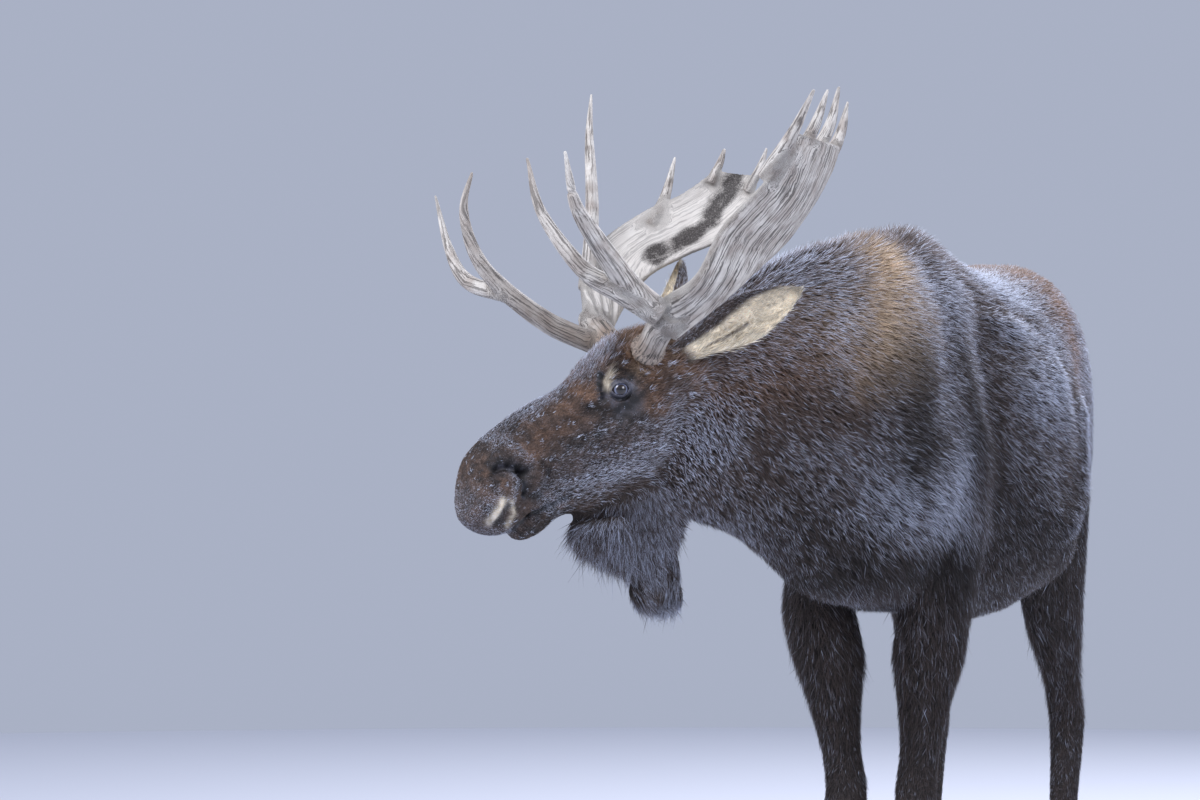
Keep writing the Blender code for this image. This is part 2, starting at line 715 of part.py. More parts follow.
def foot(label, x, y):
    """Two hooves side by side on the floor, and two dewclaws behind the fetlock."""
    made = []
    style = {"up": FORWARD, "facing": DOWNWARD, "steps": 1}
    for side, place in ((-1, "right"), (1, "left")):
        toe_x = x + side * 0.0275
        name = f"{label}_hoof_{place}"
        made.append(loft(name, toe_sections(toe_x, y), count=12, **style))
        claw_x = x + side * 0.026
        claw = [
            Section(claw_x, y + 0.075, 0.168, 0.012, 0.014, 0.010),
            Section(claw_x, y + 0.088, 0.145, 0.014, 0.016, 0.012),
            Section(claw_x + side * 0.004, y + 0.094, 0.118, 0.010, 0.010, 0.008),
        ]
        name = f"{label}_dewclaw_{place}"
        made.append(loft(name, claw, count=8, **style))
    return made


# --------------------------------------------------------------------------------------------------
# Parting the body and the antlers, and the whole animal
# --------------------------------------------------------------------------------------------------
def spared(point, head_frame):
    """How much of the thinning a point of the body is spared: the head keeps the most detail."""
    local = head_frame.inverted() @ point
    if local.x > POLL and local.z > -0.65 and abs(local.y) < 0.2:
        return 0.55
    return 0.35 if point.z < ELBOW_CUT else 0.0


def fitted_cutter(piece):
    """A piece's own shape, thicker by the socket's gap, as a cutter for what it sits in."""
    cutter = add_object("cutter", piece.data.copy(), CUTTERS)
    swell = cutter.modifiers.new("Gap", "DISPLACE")
    swell.strength = SOCKET_GAP
    swell.mid_level = 0.0
    cutter.data = evaluated_mesh(cutter)
    cutter.modifiers.clear()
    return cutter


def part_tine(rest, name, tine, level, start):
    """Takes a tine off an antler as its own object, from that share of its length to its tip."""
    rows = blended(tine_sections(tine), 4)
    kept = rows[round(start * (len(rows) - 1)) :]
    beyond = kept[-1].copy()
    beyond[:3] += kept[-1][:3] - kept[-2][:3]
    sections = [Section(*row) for row in [*kept, beyond]]
    style = {"frame": level, "up": OFF_EVERY_TINE, "steps": 1, "count": 16}
    piece = add_object(name, rest.data.copy(), SOLIDS)
    for target, operation, room in ((piece, "INTERSECT", 0.0), (rest, "DIFFERENCE", GAP)):
        cutter = loft("cutter", sections, grow=TINE_ROOM + room, **style)
        if operation == "DIFFERENCE":
            back_off(cutter, sections, level)
        cut(target, cutter, operation)
    return piece


def back_off(cutter, sections, level):
    """Moves a tine cutter's first ring back by the gap."""
    along = Vector(sections[1][:3]) - Vector(sections[0][:3])
    away = level.to_3x3() @ along.normalized() * -GAP
    for vertex in list(cutter.data.vertices)[:16]:
        vertex.co += away


def part_body(body, head_frame, level_frame):
    """Parts the melted body into its named lengths."""
    floor_frame = Matrix()
    for label, side in (("left", 1), ("right", -1)):
        near, far = sorted((0.0, side * 0.6))
        upper = (near, -0.5, -0.1), (far, 0.5, ELBOW_CUT)
        fore = part_off(body, f"foreleg_{label}_forearm", floor_frame, *upper)
        lower = (near, -0.5, CORONET), (far, 0.5, KNEE - 0.03)
        part_off(fore, f"foreleg_{label}_cannon", floor_frame, *lower)
        upper = (near, 0.7, -0.1), (far, 1.8, STIFLE_CUT)
        hind = part_off(body, f"hindleg_{label}_gaskin", floor_frame, *upper)
        lower = (near, 0.7, CORONET), (far, 1.8, HOCK - 0.03)
        part_off(hind, f"hindleg_{label}_cannon", floor_frame, *lower)
        for leg in (fore, hind):
            stump = block("cutter", floor_frame, (-1, -1, -0.1), (1, 2, CORONET + 0.02))
            cut(leg, stump, "DIFFERENCE")
    neck = part_off(body, "neck", shoulder_frame(), (-1.5, -2, -1.5), (1.5, 0, 1.5))
    head = part_off(neck, "head", level_frame, (POLL, -0.6, -0.9), (1.0, 0.6, 0.6))
    bell = part_off(head, "bell", level_frame, (POLL - 0.1, -0.3, -0.9), (0.19, 0.3, BELL_TOP))
    jaw = part_off(head, "lower_jaw", head_frame, (CHEEK, -0.3, -0.6), (0.7, 0.3, MOUTH_LINE))
    return neck, head, bell, jaw


def shoulder_frame():
    """The slanting plane between neck and shoulders: the neck lies on its -Y side."""
    slant = math.atan2(NECK_BASE_LOW.y - NECK_BASE_TOP.y, NECK_BASE_LOW.z - NECK_BASE_TOP.z)
    middle = (NECK_BASE_TOP + NECK_BASE_LOW) / 2
    return Matrix.Translation(middle) @ Matrix.Rotation(math.pi - slant, 4, "X")


def build_antlers(level_frame):
    """Both antlers, each parted at its main forks, and returns the two beams."""
    beams = []
    for side, label, ribs, tines, fork, share in (
        (1, "left", LEFT_PALM, LEFT_TINES, 0.07, 0.50),
        (-1, "right", RIGHT_PALM, RIGHT_TINES, 0.11, 0.25),
    ):
        palm = antler(side, ribs, tines, level_frame)
        near, far = sorted((0.0, side * 0.7))
        brow_box = (fork, near, -0.2), (0.7, far, 0.9)
        brow = part_off(palm, f"antler_{label}_brow_inner", level_frame, *brow_box)
        part_tine(brow, f"antler_{label}_brow_outer", tines["brow_outer"], level_frame, share)
        if side < 0:
            part_tine(palm, f"antler_{label}_point", tines["point_1"], level_frame, 0.45)
        near, far = sorted((0.0, side * FORK_OUT))
        beam_box = (-0.1, near, -0.2), (fork, far, 0.2)
        beams.append(part_off(palm, f"antler_{label}_beam", level_frame, *beam_box))
    return beams


def finish(obj, material, origin):
    """Gives a node its material and its parent."""
    obj.data.materials.clear()
    obj.data.materials.append(material)
    obj.data.shade_flat()
    obj.parent = origin


def main():
    """Builds every node in the body's own frame, dresses it, and moves the whole to the middle of its box."""
    head_frame, level_frame = head_frames()
    shapes = trunk_shapes() + neck_shapes() + leg_shapes()
    shapes += head_shapes(head_frame) + bell_shapes(level_frame)
    body = fuse(
        "trunk", shapes, BODY_VOXEL, 4, BODY_TRIANGLES, lambda point: spared(point, head_frame)
    )
    neck, head, _, _ = part_body(body, head_frame, level_frame)
    beams = build_antlers(level_frame)
    for name, ear in EARS.items():
        ear_solid(name, ear, level_frame)
    eyes = [eye_ball("eye_left", 1, head_frame), eye_ball("eye_right", -1, head_frame)]
    for piece in beams:
        cut(head, fitted_cutter(piece), "DIFFERENCE")
    for ear in EARS.values():
        for piece in (head, neck):
            cut(piece, ear_solid("cutter", ear, level_frame, grow=SOCKET_GAP), "DIFFERENCE")
    for piece in eyes:
        cut(head, fitted_cutter(piece), "DIFFERENCE")
    cut(body, fitted_cutter(tail_solid("tail")), "DIFFERENCE")
    feet = (
        ("foreleg_left", LEFT_KNEE, FORE_CORONET),
        ("foreleg_right", -RIGHT_KNEE, FORE_CORONET),
        ("hindleg_left", HIND_FOOT, HIND_CORONET),
        ("hindleg_right", -HIND_FOOT, HIND_CORONET - HIND_STRIDE),
    )
    for label, x, y in feet:
        for piece in foot(label, x, y):
            if "dewclaw" in piece.name:
                cut(bpy.data.objects[f"{label}_cannon"], fitted_cutter(piece), "DIFFERENCE")
    origin = bpy.data.objects.new("moose_origin", None)
    SOLIDS.objects.link(origin)
    origin.location = MODEL_SHIFT
    brown = make_material("winter coat", COAT_BROWN, 0.9)
    grey = make_material("frosted coat", COAT_GREY, 0.9)
    cream = make_material("ear hair", EAR_CREAM, 0.9)
    bone = make_material("antler", ANTLER_BONE, 0.6)
    horn = make_material("hoof horn", HOOF_HORN, 0.45)
    glossy = make_material("eye", EYE_BLACK, 0.08)
    finishes = {
        "antler": bone,
        "eye": glossy,
        "ear": cream,
        "hoof": horn,
        "dewclaw": horn,
        "neck": grey,
        "bell": grey,
    }
    for obj in list(SOLIDS.objects):
        if obj.type == "MESH":
            words = set(obj.name.split("_"))
            finish(obj, next((made for key, made in finishes.items() if key in words), brown), origin)


clear_scene()
SOLIDS = make_collection("moose")
CUTTERS = make_collection("cutters")
CUTTERS.hide_render = True
main()
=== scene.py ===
"""A bull moose in its frosted winter coat, standing with its head turned to its right.

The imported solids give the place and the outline. Over them come a hide that replaces every node of flesh, a
coat of solid tufts, two antlers, two eyes and four pairs of hooves. The ears are part of the hide. +Z is up
and the trunk heads -Y. Lengths are in metres, except where a table or a field says millimetres.
"""

import logging
import math
from dataclasses import dataclass, field
from enum import Enum
from typing import NamedTuple, Optional, Sequence

import bmesh
import bpy
import numpy as np
from mathutils import Matrix, Vector
from mathutils.kdtree import KDTree

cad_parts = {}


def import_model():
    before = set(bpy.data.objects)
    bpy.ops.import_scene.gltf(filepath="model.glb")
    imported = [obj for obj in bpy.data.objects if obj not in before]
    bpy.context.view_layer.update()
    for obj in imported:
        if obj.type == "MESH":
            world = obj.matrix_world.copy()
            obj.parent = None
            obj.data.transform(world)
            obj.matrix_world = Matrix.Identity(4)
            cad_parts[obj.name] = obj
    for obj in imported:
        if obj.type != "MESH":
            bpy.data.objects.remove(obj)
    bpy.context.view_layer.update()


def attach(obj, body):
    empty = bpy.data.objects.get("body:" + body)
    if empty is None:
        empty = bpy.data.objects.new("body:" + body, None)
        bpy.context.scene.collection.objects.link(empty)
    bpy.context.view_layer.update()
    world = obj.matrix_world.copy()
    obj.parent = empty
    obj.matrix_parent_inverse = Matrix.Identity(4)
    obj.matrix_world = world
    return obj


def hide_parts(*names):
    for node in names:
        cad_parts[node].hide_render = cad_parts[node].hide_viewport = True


LOG = logging.getLogger("moose")
MM = 0.001
BODY = "root"

# Where the withers stand on the floor, the seat of the antlers, and how the head is turned and pitched.
WITHERS = Vector((0.288, -0.176, 0.0))
HEAD_SEAT = WITHERS + Vector((-0.424, -0.693, 1.624))
HEAD_TURN = math.radians(-52)
HEAD_PITCH = math.radians(32.7)
FORWARD, BACKWARD, DOWNWARD = Vector((0, -1, 0)), Vector((0, 1, 0)), Vector((0, 0, -1))
NOSEWARD = Vector((1, 0, 0))

Points = np.ndarray


# ---- Small tools
def linear(code: str) -> tuple[float, float, float, float]:
    """A colour for a shader.

    Args:
        code: the sRGB colour as six hex digits.

    Returns:
        The linear colour with full alpha.
    """
    shares = [int(code[start : start + 2], 16) / 255 for start in (0, 2, 4)]
    red, green, blue = (s / 12.92 if s <= 0.04045 else ((s + 0.055) / 1.055) ** 2.4 for s in shares)
    return red, green, blue, 1.0


def unit(rows: Points) -> Points:
    """The same vectors, one metre long."""
    return rows / np.maximum(np.linalg.norm(rows, axis=-1, keepdims=True), 1e-9)


def ramp(value: Points, low: float, high: float) -> Points:
    """A smooth step from 0 at low to 1 at high."""
    share = np.clip((value - low) / (high - low), 0.0, 1.0)
    return share * share * (3 - 2 * share)


def moved(frame: Matrix, points: Points) -> Points:
    """Points carried into a frame."""
    turn = np.array(frame)
    return points @ turn[:3, :3].T + turn[:3, 3]


def within(frame: Matrix, points: Points) -> Points:
    """Points as a frame sees them."""
    return moved(frame.inverted(), points)


def turned(frame: Matrix, rows: Points) -> Points:
    """Directions carried into a frame."""
    return rows @ np.array(frame)[:3, :3].T


def mottle(points: Points, size: float, seed: int) -> Points:
    """Seeded soft patches.

    Args:
        points: where the pattern is read.
        size: about how wide a patch is, in metres.
        seed: which pattern.

    Returns:
        A value from about -1 to 1 for each point.
    """
    rng = np.random.default_rng(seed)
    waves = 10
    heading = unit(rng.normal(size=(waves, 3))) * (rng.uniform(0.6, 1.5, (waves, 1)) * math.pi / size)
    phase = rng.uniform(0, math.tau, waves)
    return np.clip(np.sin(points @ heading.T + phase).sum(1) / math.sqrt(waves), -1.6, 1.6) / 1.6


def segment_distance(points: Points, line: Sequence[Sequence[float]]) -> Points:
    """How far each point is from a line of two or more corners, in two or three dimensions."""
    corners = np.array(line, float)
    nearest = np.full(len(points), np.inf)
    for start, end in zip(corners, corners[1:]):
        along = end - start
        share = np.clip((points - start) @ along / max(along @ along, 1e-12), 0, 1)
        nearest = np.minimum(nearest, np.linalg.norm(points - start - share[:, None] * along, axis=1))
    return nearest


def nearest_of(points: Points, targets: Points) -> Points:
    """For each point, which of the targets lies nearest."""
    tree = KDTree(len(targets))
    for index, target in enumerate(targets):
        tree.insert(target, index)
    tree.balance()
    return np.array([tree.find(point)[1] for point in points])


def blended(rows: Sequence[Sequence[float]], steps: int) -> Points:
    """Rows of numbers with smooth in-between rows, so that a surface through them has no corner."""
    rows = np.array(rows, float)
    padded = np.vstack([2 * rows[0] - rows[1], rows, 2 * rows[-1] - rows[-2]])
    share = (np.arange(steps) / steps)[:, None]
    made = [
        start
        + 0.5 * share * (end - before)
        + 0.5 * share**2 * (2 * before - 5 * start + 4 * end - after)
        + 0.5 * share**3 * (3 * start - before - 3 * end + after)
        for before, start, end, after in zip(padded, padded[1:], padded[2:], padded[3:])
    ]
    return np.vstack([*made, rows[-1:]])


def head_frames() -> tuple[Matrix, Matrix]:
    """The head's own frame, with +X to the nose and +Z up through the forehead, and the level one of the
    antlers, which turns with the head but doesn't pitch."""
    level = Matrix.Translation(HEAD_SEAT) @ Matrix.Rotation(HEAD_TURN - math.radians(90), 4, "Z")
    return level @ Matrix.Rotation(HEAD_PITCH, 4, "Y"), level


HEAD, LEVEL = head_frames()
BODY_FRAME = Matrix.Translation(WITHERS)


# ---- Meshes
def rows_of(items: bpy.types.bpy_prop_collection, name: str, width: int, kind: type = np.float32) -> Points:
    """One property of every item, so many numbers to a row."""
    rows = np.empty(len(items) * width, kind)
    items.foreach_get(name, rows)
    return rows.reshape(-1, width)


def points_of(mesh: bpy.types.Mesh) -> Points:
    """A mesh's points."""
    return rows_of(mesh.vertices, "co", 3).astype(float)


def normals_of(mesh: bpy.types.Mesh) -> Points:
    """A mesh's point normals."""
    return rows_of(mesh.vertex_normals, "vector", 3).astype(float)


def triangles_of(mesh: bpy.types.Mesh) -> Points:
    """The corners of each triangle of a mesh that has only triangles."""
    return rows_of(mesh.loops, "vertex_index", 1, np.int32).reshape(-1, 3)


def edges_of(mesh: bpy.types.Mesh) -> Points:
    """The two ends of each edge."""
    return rows_of(mesh.edges, "vertices", 2, np.int32)


def set_points(mesh: bpy.types.Mesh, points: Points) -> None:
    """Moves a mesh's points."""
    mesh.vertices.foreach_set("co", points.astype(np.float32).ravel())
    mesh.update()


def new_mesh(name: str, points: Points, faces: Points) -> bpy.types.Mesh:
    """A smooth-shaded mesh.

    Args:
        name: the mesh's name.
        points: its points.
        faces: the corners of each face, all with the same number of them.

    Returns:
        The new mesh.
    """
    mesh = bpy.data.meshes.new(name)
    corners = faces.shape[1]
    mesh.vertices.add(len(points))
    mesh.vertices.foreach_set("co", points.astype(np.float32).ravel())
    mesh.loops.add(faces.size)
    mesh.loops.foreach_set("vertex_index", faces.astype(np.int32).ravel())
    mesh.polygons.add(len(faces))
    mesh.polygons.foreach_set("loop_start", np.arange(0, faces.size, corners, dtype=np.int32))
    mesh.update(calc_edges=True)
    mesh.shade_smooth()
    return mesh


def faced_out(points: Points, faces: Points) -> Points:
    """The triangles of a closed shape, all turned to face out of it."""
    first, second, third = (points[faces[:, corner]] - points[0] for corner in range(3))
    return faces if (np.cross(first, second) * third).sum() > 0 else faces[:, ::-1]


def add_object(name: str, data: bpy.types.ID) -> bpy.types.Object:
    """A new object in the scene that shows this mesh, or is this light or camera."""
    made = bpy.data.objects.new(name, data)
    bpy.context.scene.collection.objects.link(made)
    return made


def aim_at(obj: bpy.types.Object, target: Vector) -> None:
    """Turns a light or a camera to face a point."""
    obj.rotation_euler = (target - obj.location).to_track_quat("-Z", "Y").to_euler()


def settle(obj: bpy.types.Object) -> None:
    """Applies an object's modifiers to its mesh."""
    bpy.context.view_layer.update()
    graph = bpy.context.evaluated_depsgraph_get()
    mesh = bpy.data.meshes.new_from_object(obj.evaluated_get(graph))
    obj.modifiers.clear()
    obj.data = mesh


def store(mesh: bpy.types.Mesh, name: str, values: Points) -> None:
    """Keeps one number a point on a mesh, for its material to read."""
    kept = mesh.attributes.new(name, "FLOAT", "POINT")
    kept.data.foreach_set("value", values.astype(np.float32))


def evened(values: Points, edges: Points, rounds: int, share: float = 0.5) -> Points:
    """Values averaged with their neighbours along the edges.

    Args:
        values: one row for each point.
        edges: the edges that join them.
        rounds: how many times.
        share: how far each value moves to the average.

    Returns:
        The evened values.
    """
    rows = values.reshape(len(values), -1).astype(float)
    count = np.maximum(np.bincount(edges.ravel(), minlength=len(rows)), 1)
    for _ in range(rounds):
        for column in range(rows.shape[1]):
            one = rows[:, column]
            total = np.bincount(edges[:, 0], one[edges[:, 1]], len(rows))
            total += np.bincount(edges[:, 1], one[edges[:, 0]], len(rows))
            rows[:, column] = one + share * (total / count - one)
    return rows.reshape(values.shape)


def unwrap(obj: bpy.types.Object) -> None:
    """Lays a piece's surface out flat, on a map named OFBake."""
    bpy.ops.object.select_all(action="DESELECT")
    obj.select_set(True)
    bpy.context.view_layer.objects.active = obj
    obj.data.uv_layers.new(name="OFBake")
    bpy.ops.object.mode_set(mode="EDIT")
    bpy.ops.mesh.select_all(action="SELECT")
    bpy.ops.uv.smart_project(angle_limit=math.radians(66), island_margin=0.001)
    bpy.ops.object.mode_set(mode="OBJECT")


class Section(NamedTuple):
    """One cross-section: its centre, its half width, how far it rises and drops from there, how square its
    upper and lower halves are, where 2 is an ellipse, and how deep the coat lies over the hide there."""

    x: float
    y: float
    z: float
    half: float
    rise: float
    drop: float
    crown: float = 2.0
    keel: float = 2.0
    coat: float = 0.0


class Area(Enum):
    """The parts of the body whose hair differs."""

    TRUNK = 0
    NECK = 1
    HEAD = 2
    BELL = 3
    FORELEG = 4
    HINDLEG = 5
    TAIL = 6
    EAR = 7


@dataclass
class Form:
    """A closed shape, with the direction in which it runs, its coat's depth and its area at every point."""

    points: Points
    faces: Points
    along: Points
    coat: Points
    share: Points
    area: Area

    def placed(self, frame: Matrix) -> "Form":
        """The same form in another frame."""
        return Form(
            moved(frame, self.points), self.faces, turned(frame, self.along), self.coat, self.share, self.area
        )


def ring_sides(rings: int, count: int, closed: bool = False) -> Points:
    """Triangles between each ring of points and the next, and from the last to the first if it is closed."""
    steps = np.arange(rings if closed else rings - 1)[:, None] * count
    start = (steps + np.arange(count)).ravel()
    beside = (steps + (np.arange(count) + 1) % count).ravel()
    over, over_beside = (start + count) % (rings * count), (beside + count) % (rings * count)
    lower, upper = np.column_stack([start, beside, over_beside]), np.column_stack([start, over_beside, over])
    return np.vstack([lower, upper])


def ring_faces(rings: int, count: int) -> Points:
    """Triangles over rings of points, and over the centre points of the first and the last one, which come
    after all the rings."""
    here, beside = np.arange(count), (np.arange(count) + 1) % count
    last, centre = (rings - 1) * count, np.full(count, rings * count)
    first_cap = np.column_stack([beside, here, centre])
    last_cap = np.column_stack([last + here, last + beside, centre + 1])
    return np.vstack([ring_sides(rings, count), first_cap, last_cap])


def loft(
    sections: Sequence[Section],
    area: Area = Area.TRUNK,
    up: Vector = Vector((0, 0, 1)),
    facing: Optional[Vector] = None,
    steps: int = 6,
    count: int = 40,
) -> Form:
    """A closed surface through cross-sections, drawn in by the depth of the coat.

    Args:
        sections: the cross-sections, in order.
        area: whose hair it grows.
        up: the way that a section's rise points.
        facing: the way that every section faces, or none where they face along their own line.
        steps: how many rings stand between one section and the next.
        count: how many points a ring has.

    Returns:
        The form.
    """
    rows = blended(sections, steps)
    centres = rows[:, :3]
    if facing is None:
        ahead = np.vstack([centres[1:], centres[-1:]])
        behind = np.vstack([centres[:1], centres[:-1]])
        along = unit(ahead - behind)
    else:
        along = np.tile(np.array(facing), (len(rows), 1))
    side = unit(np.cross(along, np.array(up)))
    rise = unit(np.cross(side, along))
    turn = np.arange(count) * (math.tau / count)
    across, upward = np.cos(turn), np.sin(turn)
    top = (upward >= 0)[None, :]
    shape = np.where(top, rows[:, 6:7], rows[:, 7:8])
    coat = rows[:, 8:9]
    reach = np.where(top, rows[:, 4:5], rows[:, 5:6]) - coat
    flat = np.sign(across) * np.abs(across) ** (2 / shape) * np.maximum(rows[:, 3:4] - coat, 0.002)
    high = np.sign(upward) * np.abs(upward) ** (2 / shape) * np.maximum(reach, 0.002)
    points = centres[:, None] + side[:, None] * flat[..., None] + rise[:, None] * high[..., None]
    points = np.vstack([points.reshape(-1, 3), centres[:1], centres[-1:]])
    ends = np.array([0, len(rows) - 1])
    ring = np.concatenate([np.repeat(np.arange(len(rows)), count), ends])
    return Form(
        points, ring_faces(len(rows), count), along[ring], coat[ring, 0], ring / (len(rows) - 1), area
    )


def mirrored(sections: Sequence[Section]) -> list[Section]:
    """The same cross-sections on the animal's other side."""
    return [section._replace(x=-section.x) for section in sections]


def joined(forms: Sequence[Form], name: str) -> bpy.types.Mesh:
    """One mesh that holds all the forms."""
    starts = np.cumsum([0] + [len(form.points) for form in forms])
    faces = np.vstack([form.faces + start for form, start in zip(forms, starts)])
    return new_mesh(name, np.vstack([form.points for form in forms]), faces)


def melted(forms: Sequence[Form], name: str, voxel: float, smoothing: int) -> bpy.types.Object:
    """Forms melted into one closed surface of triangles."""
    made = add_object(name, joined(forms, name))
    melt = made.modifiers.new("Melt", "REMESH")
    melt.mode = "VOXEL"
    melt.voxel_size = voxel
    smooth = made.modifiers.new("Smooth", "SMOOTH")
    smooth.factor = 0.5
    smooth.iterations = smoothing
    made.modifiers.new("Split", "TRIANGULATE")
    settle(made)
    return made


# ---- Materials
Socket = bpy.types.NodeSocket


def add_node(
    tree: bpy.types.NodeTree, kind: str, settings: Optional[dict] = None, links: Optional[dict] = None
) -> bpy.types.Node:
    """Adds one node.

    Args:
        tree: where it goes.
        kind: the node's type, without its prefix.
        settings: its own settings, and the values of its inputs, by name or number.
        links: the sockets that feed its inputs, by name or number.

    Returns:
        The node.
    """
    node = tree.nodes.new("ShaderNode" + kind)
    for key, value in (settings or {}).items():
        if isinstance(key, str) and hasattr(node, key):
            setattr(node, key, value)
        else:
            node.inputs[key].default_value = value
    for key, socket in (links or {}).items():
        tree.links.new(socket, node.inputs[key])
    return node


@dataclass(frozen=True)
class Painter:
    """Short ways to combine the sockets of one material, and to feed its shader."""

    tree: bpy.types.NodeTree
    shader: bpy.types.Node

    def feed(self, inputs: dict) -> None:
        """Joins sockets to the shader's inputs, by name."""
        for name, socket in inputs.items():
            self.tree.links.new(socket, self.shader.inputs[name])

    def read(self, name: str) -> Socket:
        """A number kept on the mesh."""
        return add_node(self.tree, "Attribute", {"attribute_name": name}).outputs["Fac"]

    def mixed(self, share: Socket, first: object, second: object) -> Socket:
        """One colour turned into another, each given as hex or as a socket."""
        settings, links = {"data_type": "RGBA"}, {0: share}
        for place, colour in ((6, first), (7, second)):
            if isinstance(colour, str):
                settings[place] = linear(colour)
            else:
                links[place] = colour
        return add_node(self.tree, "Mix", settings, links).outputs[2]

    def times(self, colour: Socket, factor: Socket) -> Socket:
        """A colour multiplied by a number."""
        settings = {"data_type": "RGBA", "blend_type": "MULTIPLY", 0: 1.0}
        return add_node(self.tree, "Mix", settings, {6: colour, 7: factor}).outputs[2]

    def darker(self, colour: Socket, share: Socket, floor: float) -> Socket:
        """A colour taken down to that floor where the share is 1."""
        return self.times(colour, self.mapped(share, 0, 1, 1, floor))

    def reckon(self, operation: str, first: Socket, second: object, clamp: bool = False) -> Socket:
        """Arithmetic on two numbers, the second given as a number or as a socket."""
        settings: dict = {"operation": operation, "use_clamp": clamp}
        links: dict = {0: first}
        if isinstance(second, (int, float)):
            settings[1] = second
        else:
            links[1] = second
        return add_node(self.tree, "Math", settings, links).outputs[0]

    def mapped(
        self, value: Socket, low: float, high: float, to_low: float = 0.0, to_high: float = 1.0
    ) -> Socket:
        """A number brought from one range to another, clamped."""
        settings = {1: low, 2: high, 3: to_low, 4: to_high}
        return add_node(self.tree, "MapRange", settings, {0: value}).outputs[0]

    def speckle(self, width: float, detail: float = 2.0, stretch: Optional[Vector] = None) -> Socket:
        """Noise whose grains are about that wide, in metres."""
        place = add_node(self.tree, "TexCoord").outputs["Object"]
        if stretch is not None:
            place = add_node(self.tree, "Mapping", {"Scale": stretch}, {0: place}).outputs[0]
        settings = {"Scale": 1 / width, "Detail": detail}
        return add_node(self.tree, "TexNoise", settings, {"Vector": place}).outputs["Fac"]

    def bump(self, height: Socket, depth: float, strength: float = 1.0) -> Socket:
        """A normal raised by a height."""
        settings = {"Distance": depth, "Strength": strength}
        return add_node(self.tree, "Bump", settings, {"Height": height}).outputs["Normal"]


def new_material(name: str, settings: dict) -> tuple[bpy.types.Material, Painter]:
    """A Principled material with its constant values set, and its painter."""
    made = bpy.data.materials.new(name)
    made.use_nodes = True
    shader = made.node_tree.nodes["Principled BSDF"]
    for key, value in settings.items():
        shader.inputs[key].default_value = value
    return made, Painter(made.node_tree, shader)


@dataclass(frozen=True)
class WinterHair:
    """Guard hair of the winter coat: hollow keratin, near black at the root and brown along its length, with
    hoar frost on its tips. It scatters light softly, so the coat looks matt."""

    root: str = "1f1918"
    length: str = "67574f"
    gold_root: str = "a88766"
    gold: str = "ffe2bd"
    rust_root: str = "493528"
    rust: str = "a07b60"
    cream_root: str = "e4d2b2"
    cream: str = "fff9ea"
    frost: str = "dfe7fa"
    tip_share: float = 0.42
    roughness: float = 0.72

    def colour(self, paint: Painter, along: Socket) -> Socket:
        """The colour of a hair.

        Args:
            paint: of the material.
            along: how far from root to tip, from 0 to 1.

        Returns:
            Its colour, from the markings kept on the mesh.
        """
        rise = paint.mapped(along, 0.1, 0.9)
        shade = paint.mixed(rise, self.root, self.length)
        for mark, root, length in (
            ("gold", self.gold_root, self.gold),
            ("rust", self.rust_root, self.rust),
            ("cream", self.cream_root, self.cream),
        ):
            shade = paint.mixed(paint.read(mark), shade, paint.mixed(rise, root, length))
        # The shade mark darkens the hair. In most places this is the coat's own dark hair. In the folds,
        # hollows, nostrils, mouth and under the body it is partly painted shade.
        shade = paint.darker(shade, paint.read("shade"), 0.22)
        shade = paint.times(shade, paint.mapped(paint.read("tint"), 0, 1, 0.5, 1.5))
        tipped = paint.mapped(along, self.tip_share, 0.85)
        rime = paint.reckon("MULTIPLY", paint.read("frost"), tipped, clamp=True)
        return paint.mixed(rime, shade, self.frost)

    def material(self) -> bpy.types.Material:
        """The hair of the tufts."""
        made, paint = new_material("winter_hair", {"Roughness": self.roughness, "IOR": 1.5})
        paint.feed({"Base Color": self.colour(paint, paint.read("along"))})
        return made


@dataclass(frozen=True)
class HairyHide:
    """The hide under the coat: short underfur between the tufts, and bare leathery skin on the nose, the lips
    and round the eyes. The fur is matt and stippled. The bare skin is darker, finely creased and moist."""

    hair: WinterHair
    bare: str = "2e2c31"
    bare_light: str = "5f5d68"
    hair_pitch: float = 2.2 * MM  # drawn three times as coarse as real hair, to show at all
    crease_pitch: float = 3.0 * MM

    def material(self) -> bpy.types.Material:
        """The hide."""
        made, paint = new_material("hairy_hide", {"IOR": 1.45})
        strands = paint.speckle(self.hair_pitch, 3.0)
        along = paint.mapped(strands, 0.35, 0.7, 0.05, 0.7)
        furred = self.hair.colour(paint, along)
        creases = paint.speckle(self.crease_pitch, 4.0)
        bald = paint.mixed(creases, self.bare, self.bare_light)
        bald = paint.mixed(paint.read("cream"), bald, self.hair.cream_root)
        rime = paint.reckon("MULTIPLY", paint.read("frost"), paint.mapped(creases, 0.4, 0.65))
        bald = paint.mixed(rime, bald, self.hair.frost)
        # The shade mark darkens bare skin too, which paints shade into the nostrils, the slit before the eye
        # and the mouth.
        bald = paint.darker(bald, paint.read("shade"), 0.05)
        bare = paint.read("bare")
        heights = {0: bare, 2: strands, 3: creases}
        height = add_node(paint.tree, "Mix", {"data_type": "FLOAT"}, heights).outputs[0]
        paint.feed({
            "Base Color": paint.mixed(bare, furred, bald),
            "Roughness": paint.mapped(bare, 0, 1, 0.8, 0.42),
            "Normal": paint.bump(height, 1.6 * MM, 0.8),
        })
        return made


